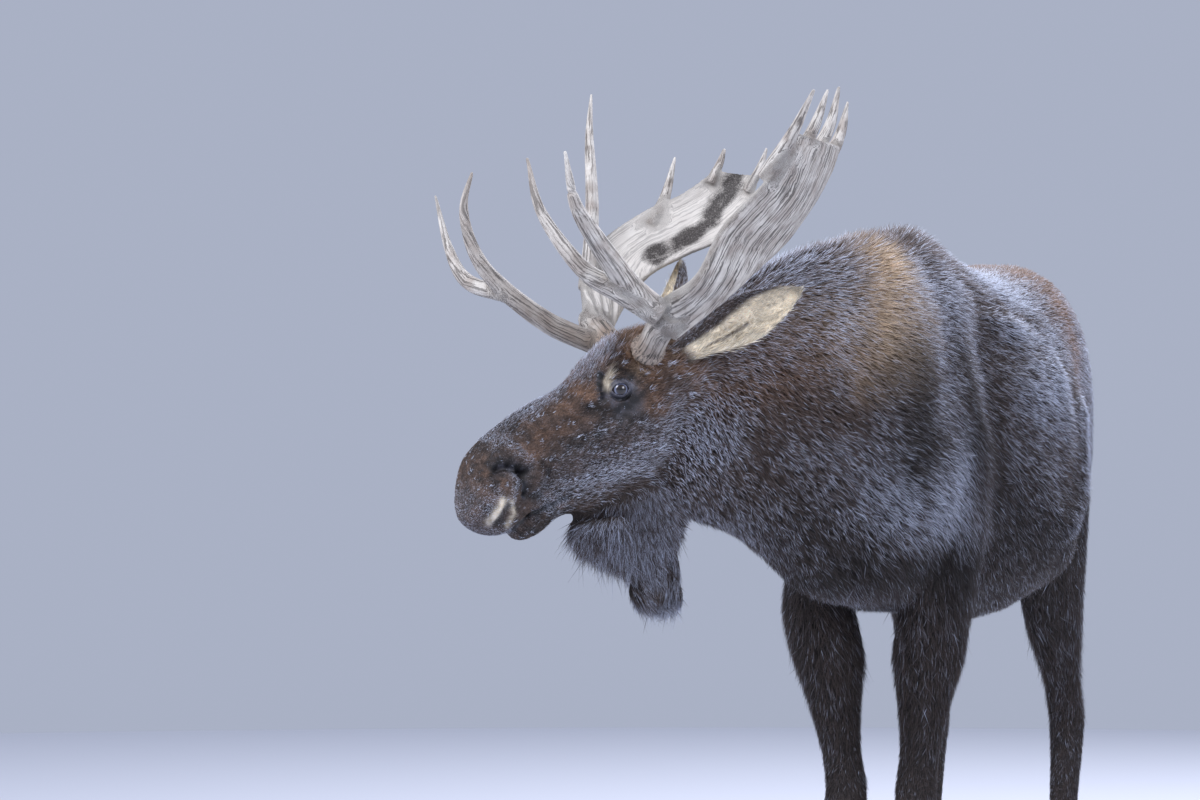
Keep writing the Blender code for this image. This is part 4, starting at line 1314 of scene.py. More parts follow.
HEAD_PATCHES = {
    "rust": strokes(
        (((0, 10), (-30, -40), (-55, -95), (-70, -140)), 48, 0.8),
        (((45, 16), (100, 30), (150, 30)), 26, 0.8),
        (((158, 7), (176, -4)), 17, 1),
        (((44, -127), (60, -100), (37, -45)), 24, 0.8),
        (((170, 10), (250, -20), (330, -45)), 42, 0.5),
        (((470, -10), (450, -70)), 34, 0.35),
        (((116, 10), (133, -8), (146, -33)), 10, -1),
    ),
    "gold": strokes(
        (((36, -22), (12, 4), (-14, 10)), 24, 0.8),
        (((-40, -20), (-75, -90)), 34, 0.3),
    ),
    "shade": strokes(
        (((0, 0), (-60, -110)), 50, -0.7),
        (((150, -75), (200, -90), (300, -90)), 26, 0.6),
        (((490, -40), (480, -90)), 40, -0.8),
        (((530, -100), (520, -140), (485, -160)), 16, -0.9),
        # Painted shade in the slit before the eye and in the hollows above the eye and before the slit.
        (((116, 10), (133, -8), (146, -33)), 10, 1),
        (((60, -46), (72, -16), (84, 3)), 10, 1),
        (((152, -45), (184, -44)), 15, 0.9),
        (((360, 30), (440, 10), (480, -40)), 40, 0.4),
        # Painted shade in the nostril, in the groove round the bulge behind it, in the mouth and in the
        # groove under the lip's pale rim.
        (((436, -28), (414, -37), (396, -54), (385, -76)), 20, 1),
        (((387, -74), (396, -95), (410, -122), (380, -138)), 11, 1),
        (((380, -138), (348, -131), (335, -113), (338, -85)), 9, 0.9),
        (((500, -180), (453, -170), (417, -168), (315, -186)), 6, 1),
        (((462, -113), (486, -128), (503, -137)), 6, 1),
        (((440, -200), (340, -215)), 24, 0.7),
        # Painted shadow in the groove between the jaw and the bell.
        (((340, -235), (290, -256), (224, -278)), 17, 1),
        (((88, -75), (122, -88)), 27, 1),
    ),
    "frost": strokes(
        (((20, -200), (150, -195), (340, -160)), 46, 1),
        (((-80, -160), (20, -175)), 50, 0.8),
        (((110, -125), (160, -100), (300, -105)), 30, 0.3),
        (((340, -172), (372, -164)), 16, 1),
        (((50, 45), (100, 36), (134, 28), (200, 26), (300, 30)), 15, 1),
        (((300, 30), (400, 30)), 16, 0.6),
        (((401, 14), (380, 4), (370, -30), (362, -63)), 13, 0.7),
        (((520, -60), (500, -100)), 34, 0.6),
        (((470, -80), (505, -105)), 20, 0.7),
        (((545, -80), (540, -125), (510, -158), (480, -172)), 17, 1),
        (((413, -65), (419, -85), (438, -100), (450, -114)), 9, 1),
        # Frost wiped from the groove between the jaw and the bell, for its painted shadow.
        (((340, -235), (224, -278)), 14, -0.8),
        (((85, -85), (125, -90)), 24, -0.9),
    ),
    "cream": strokes(
        (((464, -99), (485, -110), (505, -122)), 9, 0.95),
        (((450, -112), (455, -136), (476, -152)), 7, 0.5),
        (((94, 6), (113, -7), (126, -24)), 5.5, 0.7),
    ),
    "bare": strokes(
        (((82, -40), (118, -44)), 20, 1),
        (((90, -80), (128, -80)), 22, 0.85),
        (((118, 8), (133, -8), (145, -32)), 9, 1),
        (((436, -30), (414, -37), (396, -54), (386, -74)), 12, 1),
        (((396, -95), (412, -120)), 7, 1),
        (((462, -105), (505, -128)), 9, 0.8),
        (((500, -180), (417, -168), (320, -186)), 5, 0.9),
    ),
}
# On both sides alike: how far out from the line of the body, how far back, and the height.
BODY_PATCHES = {
    "gold": strokes(
        (((80, -200, 1810), (110, -270, 1740), (140, -300, 1660)), 75, 1),
        (((140, -320, 1640), (160, -420, 1610)), 60, 0.7),
        (((142, -460, 1685), (128, -160, 1700)), 60, 0.45),
    ),
    "rust": strokes(
        (((164, -530, 1635), (174, -580, 1580), (170, -660, 1550)), 65, 0.8),
        (((170, -460, 1600), (170, -420, 1560)), 50, 0.4),
        (((150, 930, 1750), (220, 940, 1660), (240, 1010, 1580), (240, 850, 1640)), 75, 1),
        (((100, 1200, 1740), (170, 1320, 1620)), 90, 0.6),
        (((30, 850, 1790), (100, 1000, 1770), (80, 1200, 1760)), 90, 0.6),
    ),
    "frost": strokes(
        (((100, -230, 1840), (110, -280, 1740), (150, -340, 1630)), 80, -0.7),
        (((150, 930, 1750), (220, 940, 1660), (240, 1010, 1580), (240, 850, 1640)), 65, -0.5),
        (((163, -270, 1560), (170, -250, 1450), (180, -280, 1360)), 105, -0.9),
        (((180, 40, 1600), (200, 80, 1480), (200, 20, 1380)), 80, -0.8),
        (((160, -345, 1255), (196, -226, 1250), (200, -60, 1300)), 75, 1),
        # Frost wiped from the chest: partly the coat's own dark hair, partly painted shade under the neck.
        (((200, 50, 1120), (190, -210, 1150), (110, -370, 1130), (0, -370, 1080)), 70, -0.85),
        (((130, -490, 1240), (110, -420, 1200)), 75, -0.5),
        (((20, -650, 1130), (20, -650, 1050)), 60, 0.5),
        # Frost wiped from the lower flank and the belly: partly the coat's own dark hair, partly painted
        # shade under the body.
        (((250, 360, 1160), (250, 800, 1160), (220, 1100, 1200)), 140, -0.55),
        (((0, 300, 960), (0, 1000, 980)), 190, -0.8),
        (((256, 450, 1400), (293, 680, 1430)), 34, 1),
        (((150, -700, 1450), (160, -680, 1400)), 50, 0.7),
        # Frost wiped from the hollow behind the shoulder, for the painted shade there.
        (((220, 275, 1360), (220, 255, 1250), (200, 220, 1050)), 45, -0.95),
        # A thin frost line down the shoulder's outline: partly frost, partly a painted rim highlight.
        (((200, 205, 1780), (240, 210, 1500), (240, 180, 1300), (220, 140, 1120)), 11, 1),
        (((40, 20, 1880), (80, 250, 1870)), 100, -0.7),
        (((30, -200, 1870), (30, -50, 1890)), 90, -0.6),
        (((30, 850, 1790), (80, 1000, 1780), (80, 1200, 1760)), 110, -0.75),
        (((160, 500, 1720), (230, 520, 1600), (270, 600, 1480), (300, 750, 1420)), 130, 0.95),
    ),
    "shade": strokes(
        (((100, -230, 1840), (110, -280, 1740), (150, -340, 1630)), 90, -1),
        (((163, -270, 1560), (170, -250, 1450), (180, -280, 1360)), 115, 1),
        (((180, 40, 1600), (200, 80, 1480), (200, 20, 1380)), 90, 0.85),
        # A darker chest: partly the coat's own dark hair, partly painted shade under the neck.
        (((200, 50, 1120), (190, -210, 1150), (110, -370, 1130), (0, -370, 1080)), 75, 1),
        (((130, -490, 1240), (110, -420, 1200)), 85, 0.75),
        (((20, -650, 1130), (20, -650, 1050)), 60, -0.8),
        # A darker belly and lower flank: partly the coat's own dark hair, partly painted shade under the
        # body.
        (((0, 300, 960), (0, 1000, 980)), 190, 0.8),
        (((250, 360, 1200), (250, 800, 1200), (220, 1100, 1220)), 130, 0.75),
        # Painted shade in the hollow behind the shoulder.
        (((220, 275, 1360), (220, 255, 1250), (200, 220, 1050)), 45, 1),
        (((30, 850, 1790), (80, 1000, 1780), (80, 1200, 1760)), 110, -0.8),
        (((160, 500, 1720), (230, 520, 1600), (270, 600, 1480)), 140, -0.9),
    ),
}
# How strong a marking is all over each area, in the order of Area.
AREA_MARKS = {
    "frost": (0.58, 0.48, 0.10, 0.44, 0.13, 0.22, 0.35, 0.40),
    "shade": (0.18, 0.18, 0.12, 0.28, 0.45, 0.38, 0.30, 0.00),
    "rust": (0.05, 0.10, 0.12, 0.00, 0.00, 0.00, 0.20, 0.00),
}
MARKS = ("frost", "shade", "gold", "rust", "cream", "bare")


@dataclass(frozen=True)
class Growth:
    """How one area's hair stands: how steeply it leaves the hide in degrees, a tuft's width in millimetres,
    tufts to a square metre, which way it flows along its form, and how far its lie droops."""

    lift: float
    width: float
    count: float
    flow: float
    droop: float


GROWTH = {
    Area.TRUNK: Growth(23, 2.8, 46_000, 1, 0.6),
    Area.NECK: Growth(33, 2.7, 66_000, -1, 1.0),
    Area.HEAD: Growth(14, 1.5, 110_000, -1, 0.15),
    Area.BELL: Growth(17, 2.2, 240_000, 1, 0.2),
    Area.FORELEG: Growth(15, 2.3, 42_000, 1, 0.3),
    Area.HINDLEG: Growth(15, 2.3, 42_000, 1, 0.3),
    Area.TAIL: Growth(16, 2.4, 70_000, 1, 0.3),
    Area.EAR: Growth(14, 1.5, 80_000, 1, 0.0),
}


def by_area(weights: Points, name: str) -> Points:
    """One field of the areas' growth, blended by how far each point belongs to each area."""
    return weights @ np.array([getattr(GROWTH[area], name) for area in Area])


# ---- The hide
@dataclass
class Hide:
    """The one skin over every node of flesh, with what its hair follows kept for each point."""

    eyes: Sequence[Eye]
    ears: Sequence[Ear]
    voxel: float = 0.006
    smoothing: int = 12
    triangles: int = 96_000
    mane_depth: float = 20 * MM  # how much deeper the coat is over the withers
    crown_depth: float = 11 * MM  # and between the antlers
    crown_sink: float = 7 * MM
    raggedness: float = 0.22
    points: Points = field(init=False)
    normals: Points = field(init=False)
    triangle_corners: Points = field(init=False)
    weights: Points = field(init=False)
    coat: Points = field(init=False)
    lie: Points = field(init=False)
    marks: dict = field(init=False)
    mane: Points = field(init=False)
    obj: bpy.types.Object = field(init=False)

    def build(self) -> None:
        """Casts the hide, sculpts it, adds lids and ears, and works out its coat and its markings."""
        forms = Torso().forms() + Skull().forms() + Legs().forms()
        body = melted(forms, "hide", self.voxel, self.smoothing)
        self.thin(body)
        self.refine(body)
        self.follow(body.data, forms)
        self.sculpt(body.data)
        self.join_parts(body)
        self.groom()
        self.mark()
        self.dress()

    def thin(self, body: bpy.types.Object) -> None:
        """Thins the mesh, least on the head and next least on the legs."""
        local = within(HEAD, points_of(body.data))
        head = (local[:, 0] > -0.12) & (np.abs(local[:, 1]) < 0.16) & (local[:, 2] > -0.30)
        high = points_of(body.data)[:, 2]
        levels = np.where(head, 0.0, np.where(high < 0.93, 0.7, 1.0))
        group = body.vertex_groups.new(name="thinning")
        for level in (0.7, 1.0):
            group.add(np.flatnonzero(levels == level).tolist(), level, "REPLACE")
        thin = body.modifiers.new("Thin", "DECIMATE")
        thin.ratio = self.triangles / len(body.data.polygons)
        thin.vertex_group = group.name
        thin.vertex_group_factor = 1.0
        settle(body)
        body.vertex_groups.clear()

    def refine(self, body: bpy.types.Object) -> None:
        """Splits the triangles round the eyes, the nostrils and the mouth until folds fit there."""
        eye, nostril = ((102, -38), (135, -20)), ((450, -20), (390, -80), (430, -140))
        lip, chin = ((500, -165), (390, -162), (300, -176)), ((315, -247), (224, -274))
        once, twice = strokes((lip, 18, 1), (chin, 22, 1)), strokes((eye, 42, 1), (nostril, 34, 1))
        for reach, spots in ((1.25, once + twice), (1.0, twice)):
            local = within(HEAD, points_of(body.data))
            near = np.zeros(len(local), bool)
            for spot in spots:
                near |= spot.gap(local[:, [0, 2]]) < spot.width * MM * reach
            near &= (np.abs(local[:, 1]) < 0.16) & (np.abs(local[:, 1]) > 0.015)
            bm = bmesh.new()
            bm.from_mesh(body.data)
            bm.edges.ensure_lookup_table()
            chosen = near[edges_of(body.data)].all(1)
            picked = [bm.edges[index] for index in np.flatnonzero(chosen)]
            bmesh.ops.subdivide_edges(bm, edges=picked, cuts=1, use_grid_fill=True)
            bmesh.ops.triangulate(bm, faces=[face for face in bm.faces if len(face.verts) > 3])
            bm.to_mesh(body.data)
            bm.free()

    def follow(self, mesh: bpy.types.Mesh, forms: Sequence[Form]) -> None:
        """Takes each point's area, coat depth and direction from the nearest form."""
        self.points = points_of(mesh)
        nearest = nearest_of(self.points, np.vstack([form.points for form in forms]))
        areas = np.concatenate([np.full(len(form.points), form.area.value) for form in forms])[nearest]
        edges = edges_of(mesh)
        self.weights = evened(np.eye(len(Area))[areas], edges, 14)
        self.coat = evened(np.concatenate([form.coat for form in forms])[nearest], edges, 14)
        along = np.vstack([form.along for form in forms])[nearest]
        flow = np.array([GROWTH[area].flow for area in Area])[areas]
        self.lie = evened(along * flow[:, None], edges, 14)

    def sculpt(self, mesh: bpy.types.Mesh) -> None:
        """Presses in the mane's depth, the folds and the sockets of the eyes."""
        edges = edges_of(mesh)
        normals = unit(evened(normals_of(mesh), edges, 6))
        local = within(BODY_FRAME, self.points)
        along = np.exp(-(((local[:, 1] + 0.02) / 0.30) ** 2))
        self.mane = along * ramp(normals[:, 2], 0.1, 0.8) * ramp(local[:, 2], 1.5, 1.75)
        self.mane *= self.weights[:, Area.TRUNK.value] + self.weights[:, Area.NECK.value]
        rise = -self.mane_depth * self.mane
        self.coat = self.coat - rise
        sideways = np.abs(normals[:, 0])
        crown = self.crown(within(HEAD, self.points))
        self.coat = self.coat + self.crown_depth * crown
        self.mane = self.mane + 0.8 * crown
        rise -= self.crown_sink * crown
        torso = self.weights[:, [Area.TRUNK.value, Area.FORELEG.value, Area.HINDLEG.value]].sum(1)
        for fold in BODY_FOLDS:
            press = fold.press(fold.gap(local[:, 1:])) * ramp(sideways, 0.15, 0.5)
            rise -= fold.amount * MM * press * torso * ramp(local[:, 2], 0.9, 1.0)
        for fold in NECK_FOLDS:
            rise -= fold.amount * MM * fold.press(fold.gap(local))
        in_head = within(HEAD, self.points)
        facing = np.abs(turned(HEAD.inverted(), normals)[:, 1])
        close = (np.abs(in_head[:, 1]) < 0.17) & (in_head[:, 0] > -0.16)
        for fold in HEAD_FOLDS:
            press = fold.press(fold.gap(in_head[:, [0, 2]])) * ramp(facing, 0.2, 0.55)
            rise -= fold.amount * MM * press * close
        self.points = self.points + normals * rise[:, None]
        for eye in self.eyes:
            self.points = eye.bowl(self.points)

    def crown(self, in_head: Points) -> Points:
        """How far each point is in the bushy hair between the antlers and round their stalks."""
        side_view, near = in_head[:, [0, 2]], np.abs(in_head[:, 1]) < 0.11
        brush, ridge = strokes(
            (((-60, 30), (30, 55), (90, 50)), 45, 1),
            (((90, 45), (200, 35), (340, 38)), 22, 0.45),
        )
        between = brush.press(brush.gap(side_view)) * near
        level = within(LEVEL, moved(HEAD, in_head))
        reach = np.linalg.norm(level * np.array([1.0, 0, 1]), axis=1)
        stalk = ramp(np.abs(level[:, 1]), 0.045, 0.08) * ramp(-reach, -0.09, -0.05)
        nose = ridge.amount * ridge.press(ridge.gap(side_view)) * near
        return np.maximum.reduce([between, nose, stalk * (np.abs(level[:, 1]) < 0.12)])

    def join_parts(self, body: bpy.types.Object) -> None:
        """Joins lids and ears to the skin as one mesh."""
        none = np.zeros(len(self.points))
        rows = [(self.points, self.weights, self.coat, self.lie, self.mane, none, none)]
        faces, total = [triangles_of(body.data)], len(self.points)
        bands = [(eye.lids(self.around(eye)), None) for eye in self.eyes]
        for form, inside in [*bands, *(ear.form() for ear in self.ears)]:
            count = len(form.points)
            none = np.zeros(count)
            weights = np.eye(len(Area))[np.full(count, form.area.value)]
            marks = (none, none + 1) if inside is None else (inside, none)
            rows.append((form.points, weights, form.coat, form.along, none, *marks))
            faces.append(form.faces + total)
            total += count
        columns = [np.concatenate(column) for column in zip(*rows)]
        self.points, self.weights, self.coat, self.lie, self.mane, inner, lid = columns
        self.triangle_corners = np.vstack(faces)
        self.marks = {"inner": inner, "lid": lid}
        body.data = new_mesh("hide", self.points, self.triangle_corners)
        self.obj = body

    def around(self, eye: Eye) -> Points:
        """The hide's points round an eye."""
        local = eye.local(self.points)
        near = (np.hypot(local[:, 0], local[:, 1]) < 0.045) & (local[:, 2] > -0.03)
        return self.points[near]

    def groom(self) -> None:
        """Lays the hair's direction in the surface, drooping as each area's does."""
        mesh = self.obj.data
        edges = edges_of(mesh)
        self.normals = unit(evened(normals_of(mesh), edges, 3))
        lie = self.lie - by_area(self.weights, "droop")[:, None] * np.array([0, 0, 1.0])
        swirl = np.column_stack([mottle(self.points, 0.12, seed) for seed in (3, 4, 5)])
        furry = 1 - self.weights[:, Area.HEAD.value]
        lie = lie + 0.45 * swirl * furry[:, None]
        lie = lie - self.normals * (lie * self.normals).sum(1, keepdims=True)
        lie = evened(unit(lie), edges, 6)
        self.lie = unit(lie - self.normals * (lie * self.normals).sum(1, keepdims=True))

    def mark(self) -> None:
        """Works out every marking, for the skin and the coat alike."""
        local = within(BODY_FRAME, self.points)
        bend = np.array([section[:2] for section in Torso().neck_sections()])[::-1]
        beside = local.copy()
        beside[:, 0] = np.abs(local[:, 0] - np.interp(local[:, 1], bend[:, 1], bend[:, 0]))
        in_head = within(HEAD, self.points)
        side_view = in_head[:, [0, 2]]
        off_head = np.maximum(np.abs(in_head[:, 1]) - 0.15, 0) * 8
        on_head = self.weights[:, Area.HEAD.value]
        marks = {name: np.zeros(len(self.points)) for name in MARKS}
        for name, levels in AREA_MARKS.items():
            marks[name] += self.weights @ np.array(levels)
        ragged = mottle(self.points, 0.035, 11)
        fine = mottle(self.points, 0.010, 12)
        self.brush(marks, HEAD_PATCHES, side_view, on_head * np.exp(-off_head), fine)
        self.brush(marks, BODY_PATCHES, beside, 1 - on_head, ragged)
        grain = mottle(self.points, 0.013, 14)
        marks["shade"] = marks["shade"] + 0.55 * grain * on_head
        marks["rust"] = marks["rust"] * (1 + 0.6 * mottle(self.points, 0.02, 15) * on_head)
        marks["frost"] = self.frosted(marks["frost"], local)
        marks["cream"] = np.maximum(marks["cream"], self.marks["inner"] * 0.95)
        marks["bare"] = np.maximum(marks["bare"], self.marks["lid"])
        marks["frost"] *= 1 - 0.8 * self.marks["inner"]
        near_bare = evened(marks["bare"].clip(0, 1), edges_of(self.obj.data), 14)
        self.coat = self.coat * (1 - 0.8 * np.clip(2.2 * near_bare, 0, 1) * on_head)
        self.marks = {name: np.clip(value, 0, 1) for name, value in marks.items()}

    def brush(self, marks: dict, patches: dict, place: Points, weight: Points, rough: Points) -> None:
        """Lays patches on the markings or wipes them away.

        Args:
            marks: the markings by name, changed in place.
            patches: the strokes for each marking.
            place: every point of the hide as the strokes' frame sees it.
            weight: how far each point is open to them.
            rough: noise that makes their edges ragged.
        """
        for name, rows in patches.items():
            for patch in rows:
                gap = patch.gap(place) + self.raggedness * patch.width * MM * rough
                strength = patch.press(gap) * weight
                if patch.amount < 0:
                    marks[name] = marks[name] * (1 + patch.amount * strength)
                else:
                    marks[name] = marks[name] + (1 - marks[name]) * strength * patch.amount

    def frosted(self, frost: Points, local: Points) -> Points:
        """Frost laid on: more where the hide faces up, on ridges, and in drifts. It is wiped from the hollows
        of the rib folds and the creases of the neck, which paints shade into them.
        """
        upward = ramp(self.normals[:, 2], -0.5, 0.9)
        drift = mottle(self.points, 0.09, 21) * 0.22 + mottle(self.points, 0.025, 22) * 0.16
        trunk = self.weights[:, Area.TRUNK.value] * ramp(np.abs(self.normals[:, 0]), 0.2, 0.6)
        gap = np.min([fold.gap(local[:, 1:]) for fold in RIB_FOLDS], axis=0)
        ridge = RIB_FOLDS[0].press(gap)
        hollow = np.exp(-((gap / 0.08) ** 2)) * (1 - ridge) * trunk
        gap = np.min([fold.gap(local) / (fold.width * MM) for fold in NECK_FOLDS], axis=0)
        crease = np.exp(-((gap / 1.6) ** 2))
        laid = frost * (0.7 + 0.4 * upward) * (1 + drift * 1.1) + 0.3 * ridge * trunk
        # Frost wiped from the rib hollows and the neck creases paints shade into them.
        return laid * (1 - 0.95 * hollow) * (1 - 0.95 * crease)

    def dress(self) -> None:
        """Stores the markings on the mesh, and gives it its map, its material and the nodes it stands for."""
        mesh = self.obj.data
        unwrap(self.obj)
        for name, value in self.marks.items():
            store(mesh, name, value)
        store(mesh, "tint", 0.5 + 0.5 * mottle(self.points, 0.02, 31))
        mesh.materials.append(HairyHide(WinterHair()).material())
        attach(self.obj, BODY)
        flesh = ("trunk", "neck", "head", "lower_jaw", "bell", "tail", "ear_left", "ear_right")
        legs = [
            f"{leg}_{side}_{length}"
            for leg, upper in (("foreleg", "forearm"), ("hindleg", "gaskin"))
            for side in ("left", "right")
            for length in (upper, "cannon")
        ]
        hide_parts(*flesh, *legs)


# ---- The coat
class Roots(NamedTuple):
    """Where tufts stand on the hide: the triangle of each among the chosen ones, its corners, and how near
    the tuft is to each corner."""

    picked: Points
    corners: Points
    shares: Points

    def read(self, values: Points) -> Points:
        """A field of the hide, read at every root."""
        shares = self.shares if values.ndim == 1 else self.shares[..., None]
        return (values[self.corners] * shares).sum(1)


@dataclass
class Coat:
    """The hair: closed tapered tufts of four triangles, rooted all over the hide and laid along it."""

    hide: Hide
    share: float = 1.0
    most: int = 49_500
    patch: float = 0.003
    gather: float = 0.4
    least_lock: float = 0.008
    widest_lock: float = 0.011
    root_depth: float = 0.6 * MM
    shortest: float = 5 * MM
    uneven: float = 0.38  # the share of its length that a tuft may lack
    mane_uneven: float = 0.2
    mane_lift: float = 20  # in degrees, and so is the next one
    lift_spread: float = 3.5
    turn_spread: float = 0.3
    seed: int = 7

    def build(self) -> None:
        """Grows every piece of the coat."""
        corners = self.hide.triangle_corners
        weights = self.hide.weights[corners].mean(1)
        middle = within(BODY_FRAME, self.hide.points[corners].mean(1))
        area = weights.argmax(1)
        trunk, neck = area == Area.TRUNK.value, area == Area.NECK.value
        left = middle[:, 0] > 0.2 * np.minimum(middle[:, 1], 0)
        fore, rear = middle[:, 1] < 0.34, middle[:, 1] >= 0.86
        pieces = {
            "coat_head": area == Area.HEAD.value,
            "coat_ears": area == Area.EAR.value,
            "coat_bell": area == Area.BELL.value,
            "coat_neck_left": neck & left,
            "coat_neck_right": neck & ~left,
            "coat_shoulder_left": trunk & fore & left,
            "coat_shoulder_right": trunk & fore & ~left,
            "coat_flank_left": trunk & ~fore & ~rear & left,
            "coat_flank_right": trunk & ~fore & ~rear & ~left,
            "coat_rump": (trunk & rear) | (area == Area.TAIL.value),
            "coat_forelegs": area == Area.FORELEG.value,
            "coat_hindlegs": area == Area.HINDLEG.value,
        }
        hair = WinterHair().material()
        for index, (name, chosen) in enumerate(pieces.items()):
            self.grow(name, chosen, hair, np.random.default_rng(self.seed + index))

    def grow(self, name: str, chosen: Points, hair: bpy.types.Material, rng: np.random.Generator) -> None:
        """Grows one piece of the coat.

        Args:
            name: the piece's name.
            chosen: which of the hide's triangles it grows on.
            hair: its material.
            rng: the seeded source of every variation in it.
        """
        hide = self.hide
        roots = self.strewn(chosen, rng)
        count = len(roots.picked)
        place, normal, lie = roots.read(hide.points), unit(roots.read(hide.normals)), roots.read(hide.lie)
        weights, mane = roots.read(hide.weights), roots.read(hide.mane)
        lie = unit(lie - normal * (lie * normal).sum(1, keepdims=True))
        lift = by_area(weights, "lift") + self.mane_lift * mane + rng.normal(0, self.lift_spread, count)
        lift = np.clip(np.radians(lift), 0.1, 1.3)
        length = roots.read(hide.coat) / np.sin(np.maximum(lift, 0.14))
        length *= 1 - rng.random(count) * (self.uneven + self.mane_uneven * mane.clip(0, 1))
        length = np.maximum(length, self.shortest)
        coarse = math.sqrt(1 / self.share)
        width = by_area(weights, "width") * MM * rng.uniform(0.7, 1.3, count) * coarse
        turn = rng.normal(0, self.turn_spread, count)[:, None]
        heading = lie * np.cos(turn) + np.cross(normal, lie) * np.sin(turn)
        start = place - normal * self.root_depth
        lock, tint, snow = self.locks(place, length, rng)
        tip = start + (heading * np.cos(lift)[:, None] + normal * np.sin(lift)[:, None]) * length[:, None]
        pull = lock - place
        pull -= normal * (pull * normal).sum(1, keepdims=True)
        tip += self.gather * pull
        mesh, faces = self.tufts(name, start, tip, normal, width)
        for mark in ("shade", "gold", "rust", "cream"):
            store(mesh, mark, np.repeat(roots.read(hide.marks[mark]), 4))
        frost, on_head = roots.read(hide.marks["frost"]), weights[:, Area.HEAD.value]
        rime = ramp(0.4 * tint + 0.6 * rng.random(count) + frost, 0.72, 1.22)
        fleck = np.where(on_head > 0.5, snow, rng.random(count))
        rime = np.where(fleck > 1 - 0.12 * frost**1.5 - 0.05 * on_head, 2.2, rime)
        store(mesh, "frost", np.repeat(rime, 4))
        store(mesh, "along", np.tile([0.0, 0.0, 0.1, 1.0], count))
        store(mesh, "tint", np.repeat(np.clip(0.1 + 0.8 * tint + rng.normal(0, 0.15, count), 0, 1), 4))
        self.map(mesh, chosen, roots, faces)
        mesh.materials.append(hair)
        made = add_object(name, mesh)
        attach(made, BODY)
        LOG.info("%s: %d tufts, %d triangles", name, count, len(faces))

    def strewn(self, chosen: Points, rng: np.random.Generator) -> Roots:
        """Roots strewn over the chosen triangles, as densely as each area's hair stands and thinly where the
        skin is bare."""
        corners = self.hide.triangle_corners[chosen]
        first, second, third = (self.hide.points[corners[:, corner]] for corner in range(3))
        size = np.linalg.norm(np.cross(second - first, third - first), axis=1) / 2
        furred = 1 - 0.9 * self.hide.marks["bare"][corners].mean(1)
        mass = np.cumsum(size * (by_area(self.hide.weights[corners].mean(1), "count") * furred))
        count = int(min(mass[-1] * self.share, self.most))
        spots = (np.arange(count) + rng.random(count)) / count * mass[-1]
        picked = np.searchsorted(mass, spots).clip(0, len(mass) - 1)
        one, two = rng.random((2, count))
        root = np.sqrt(one)
        return Roots(picked, corners[picked], np.column_stack([1 - root, root * (1 - two), root * two]))

    def tufts(
        self, name: str, start: Points, tip: Points, normal: Points, width: Points
    ) -> tuple[bpy.types.Mesh, Points]:
        """The tufts as one mesh, and its triangles: each is a three-sided point from its start to its tip."""
        line = unit(tip - start)
        flat = unit(np.cross(line, normal))
        half = (width / 2)[:, None]
        raised = np.cross(flat, line) * half * 0.8
        points = np.stack([start - flat * half, start + flat * half, start + raised, tip], axis=1)
        solid = np.array([[0, 1, 2], [1, 0, 3], [2, 1, 3], [0, 2, 3]])
        faces = (solid[None] + 4 * np.arange(len(start))[:, None, None]).reshape(-1, 3)
        return new_mesh(name, points.reshape(-1, 3), faces), faces

    def locks(self, place: Points, length: Points, rng: np.random.Generator) -> tuple[Points, Points, Points]:
        """Gathers tufts into locks.

        Args:
            place: the roots.
            length: their lengths.
            rng: the seeded source.

        Returns:
            For each tuft the middle of its lock, the lock's own tint, and its chance of snow, from 0 to 1.
        """
        size = float(np.clip(0.22 * np.median(length), self.least_lock, self.widest_lock))
        cell = np.floor(place / size).astype(np.int64)
        best = np.full(len(place), np.inf)
        middle, tint, snow = place.copy(), np.zeros(len(place)), np.zeros(len(place))
        shift = rng.integers(0, 1 << 20)
        for step in np.ndindex(3, 3, 3):
            near = cell + np.array(step) - 1
            mixed = (near * np.array([73856093, 19349663, 83492791])).sum(1) + shift
            noise = [((mixed * odd) % 65521) / 65521 for odd in (40503, 30011, 24593, 51817, 61927)]
            centre = (near + np.column_stack(noise[:3])) * size
            gap = ((centre - place) ** 2).sum(1)
            closer = gap < best
            best = np.where(closer, gap, best)
            middle = np.where(closer[:, None], centre, middle)
            tint = np.where(closer, noise[3], tint)
            snow = np.where(closer, noise[4], snow)
        return middle, tint, snow

    def map(self, mesh: bpy.types.Mesh, chosen: Points, roots: Roots, faces: Points) -> None:
        """Gives each tuft a small patch of the map at its root's place on the hide's own map."""
        laid = rows_of(self.hide.obj.data.uv_layers["OFBake"].uv, "vector", 2)
        laid = laid.reshape(-1, 3, 2)[chosen][roots.picked]
        root = (laid * roots.shares[..., None]).sum(1)
        half = self.patch / 2
        offsets = np.array([[-half * 0.7, -half], [half * 0.7, -half], [0, -half * 0.6], [0, half]])
        spread = (root[:, None] + offsets).reshape(-1, 2).clip(0, 1)
        layer = mesh.uv_layers.new(name="OFBake")
        layer.uv.foreach_set("vector", spread[faces.ravel()].astype(np.float32).ravel())


# ---- Antlers, in the head's level frame: forward, to the left, up from the seat between the burrs
class Tine(NamedTuple):
    """A tapering point of an antler in millimetres: its line from root to tip, and its radius at the root."""

    line: tuple
    radius: float


class Rib(NamedTuple):
    """A cross-section of the palm in millimetres: its front edge, its rear edge, how deep it is cupped, and
    half its thickness."""

    front: tuple
    rear: tuple
    cup: float
    half: float


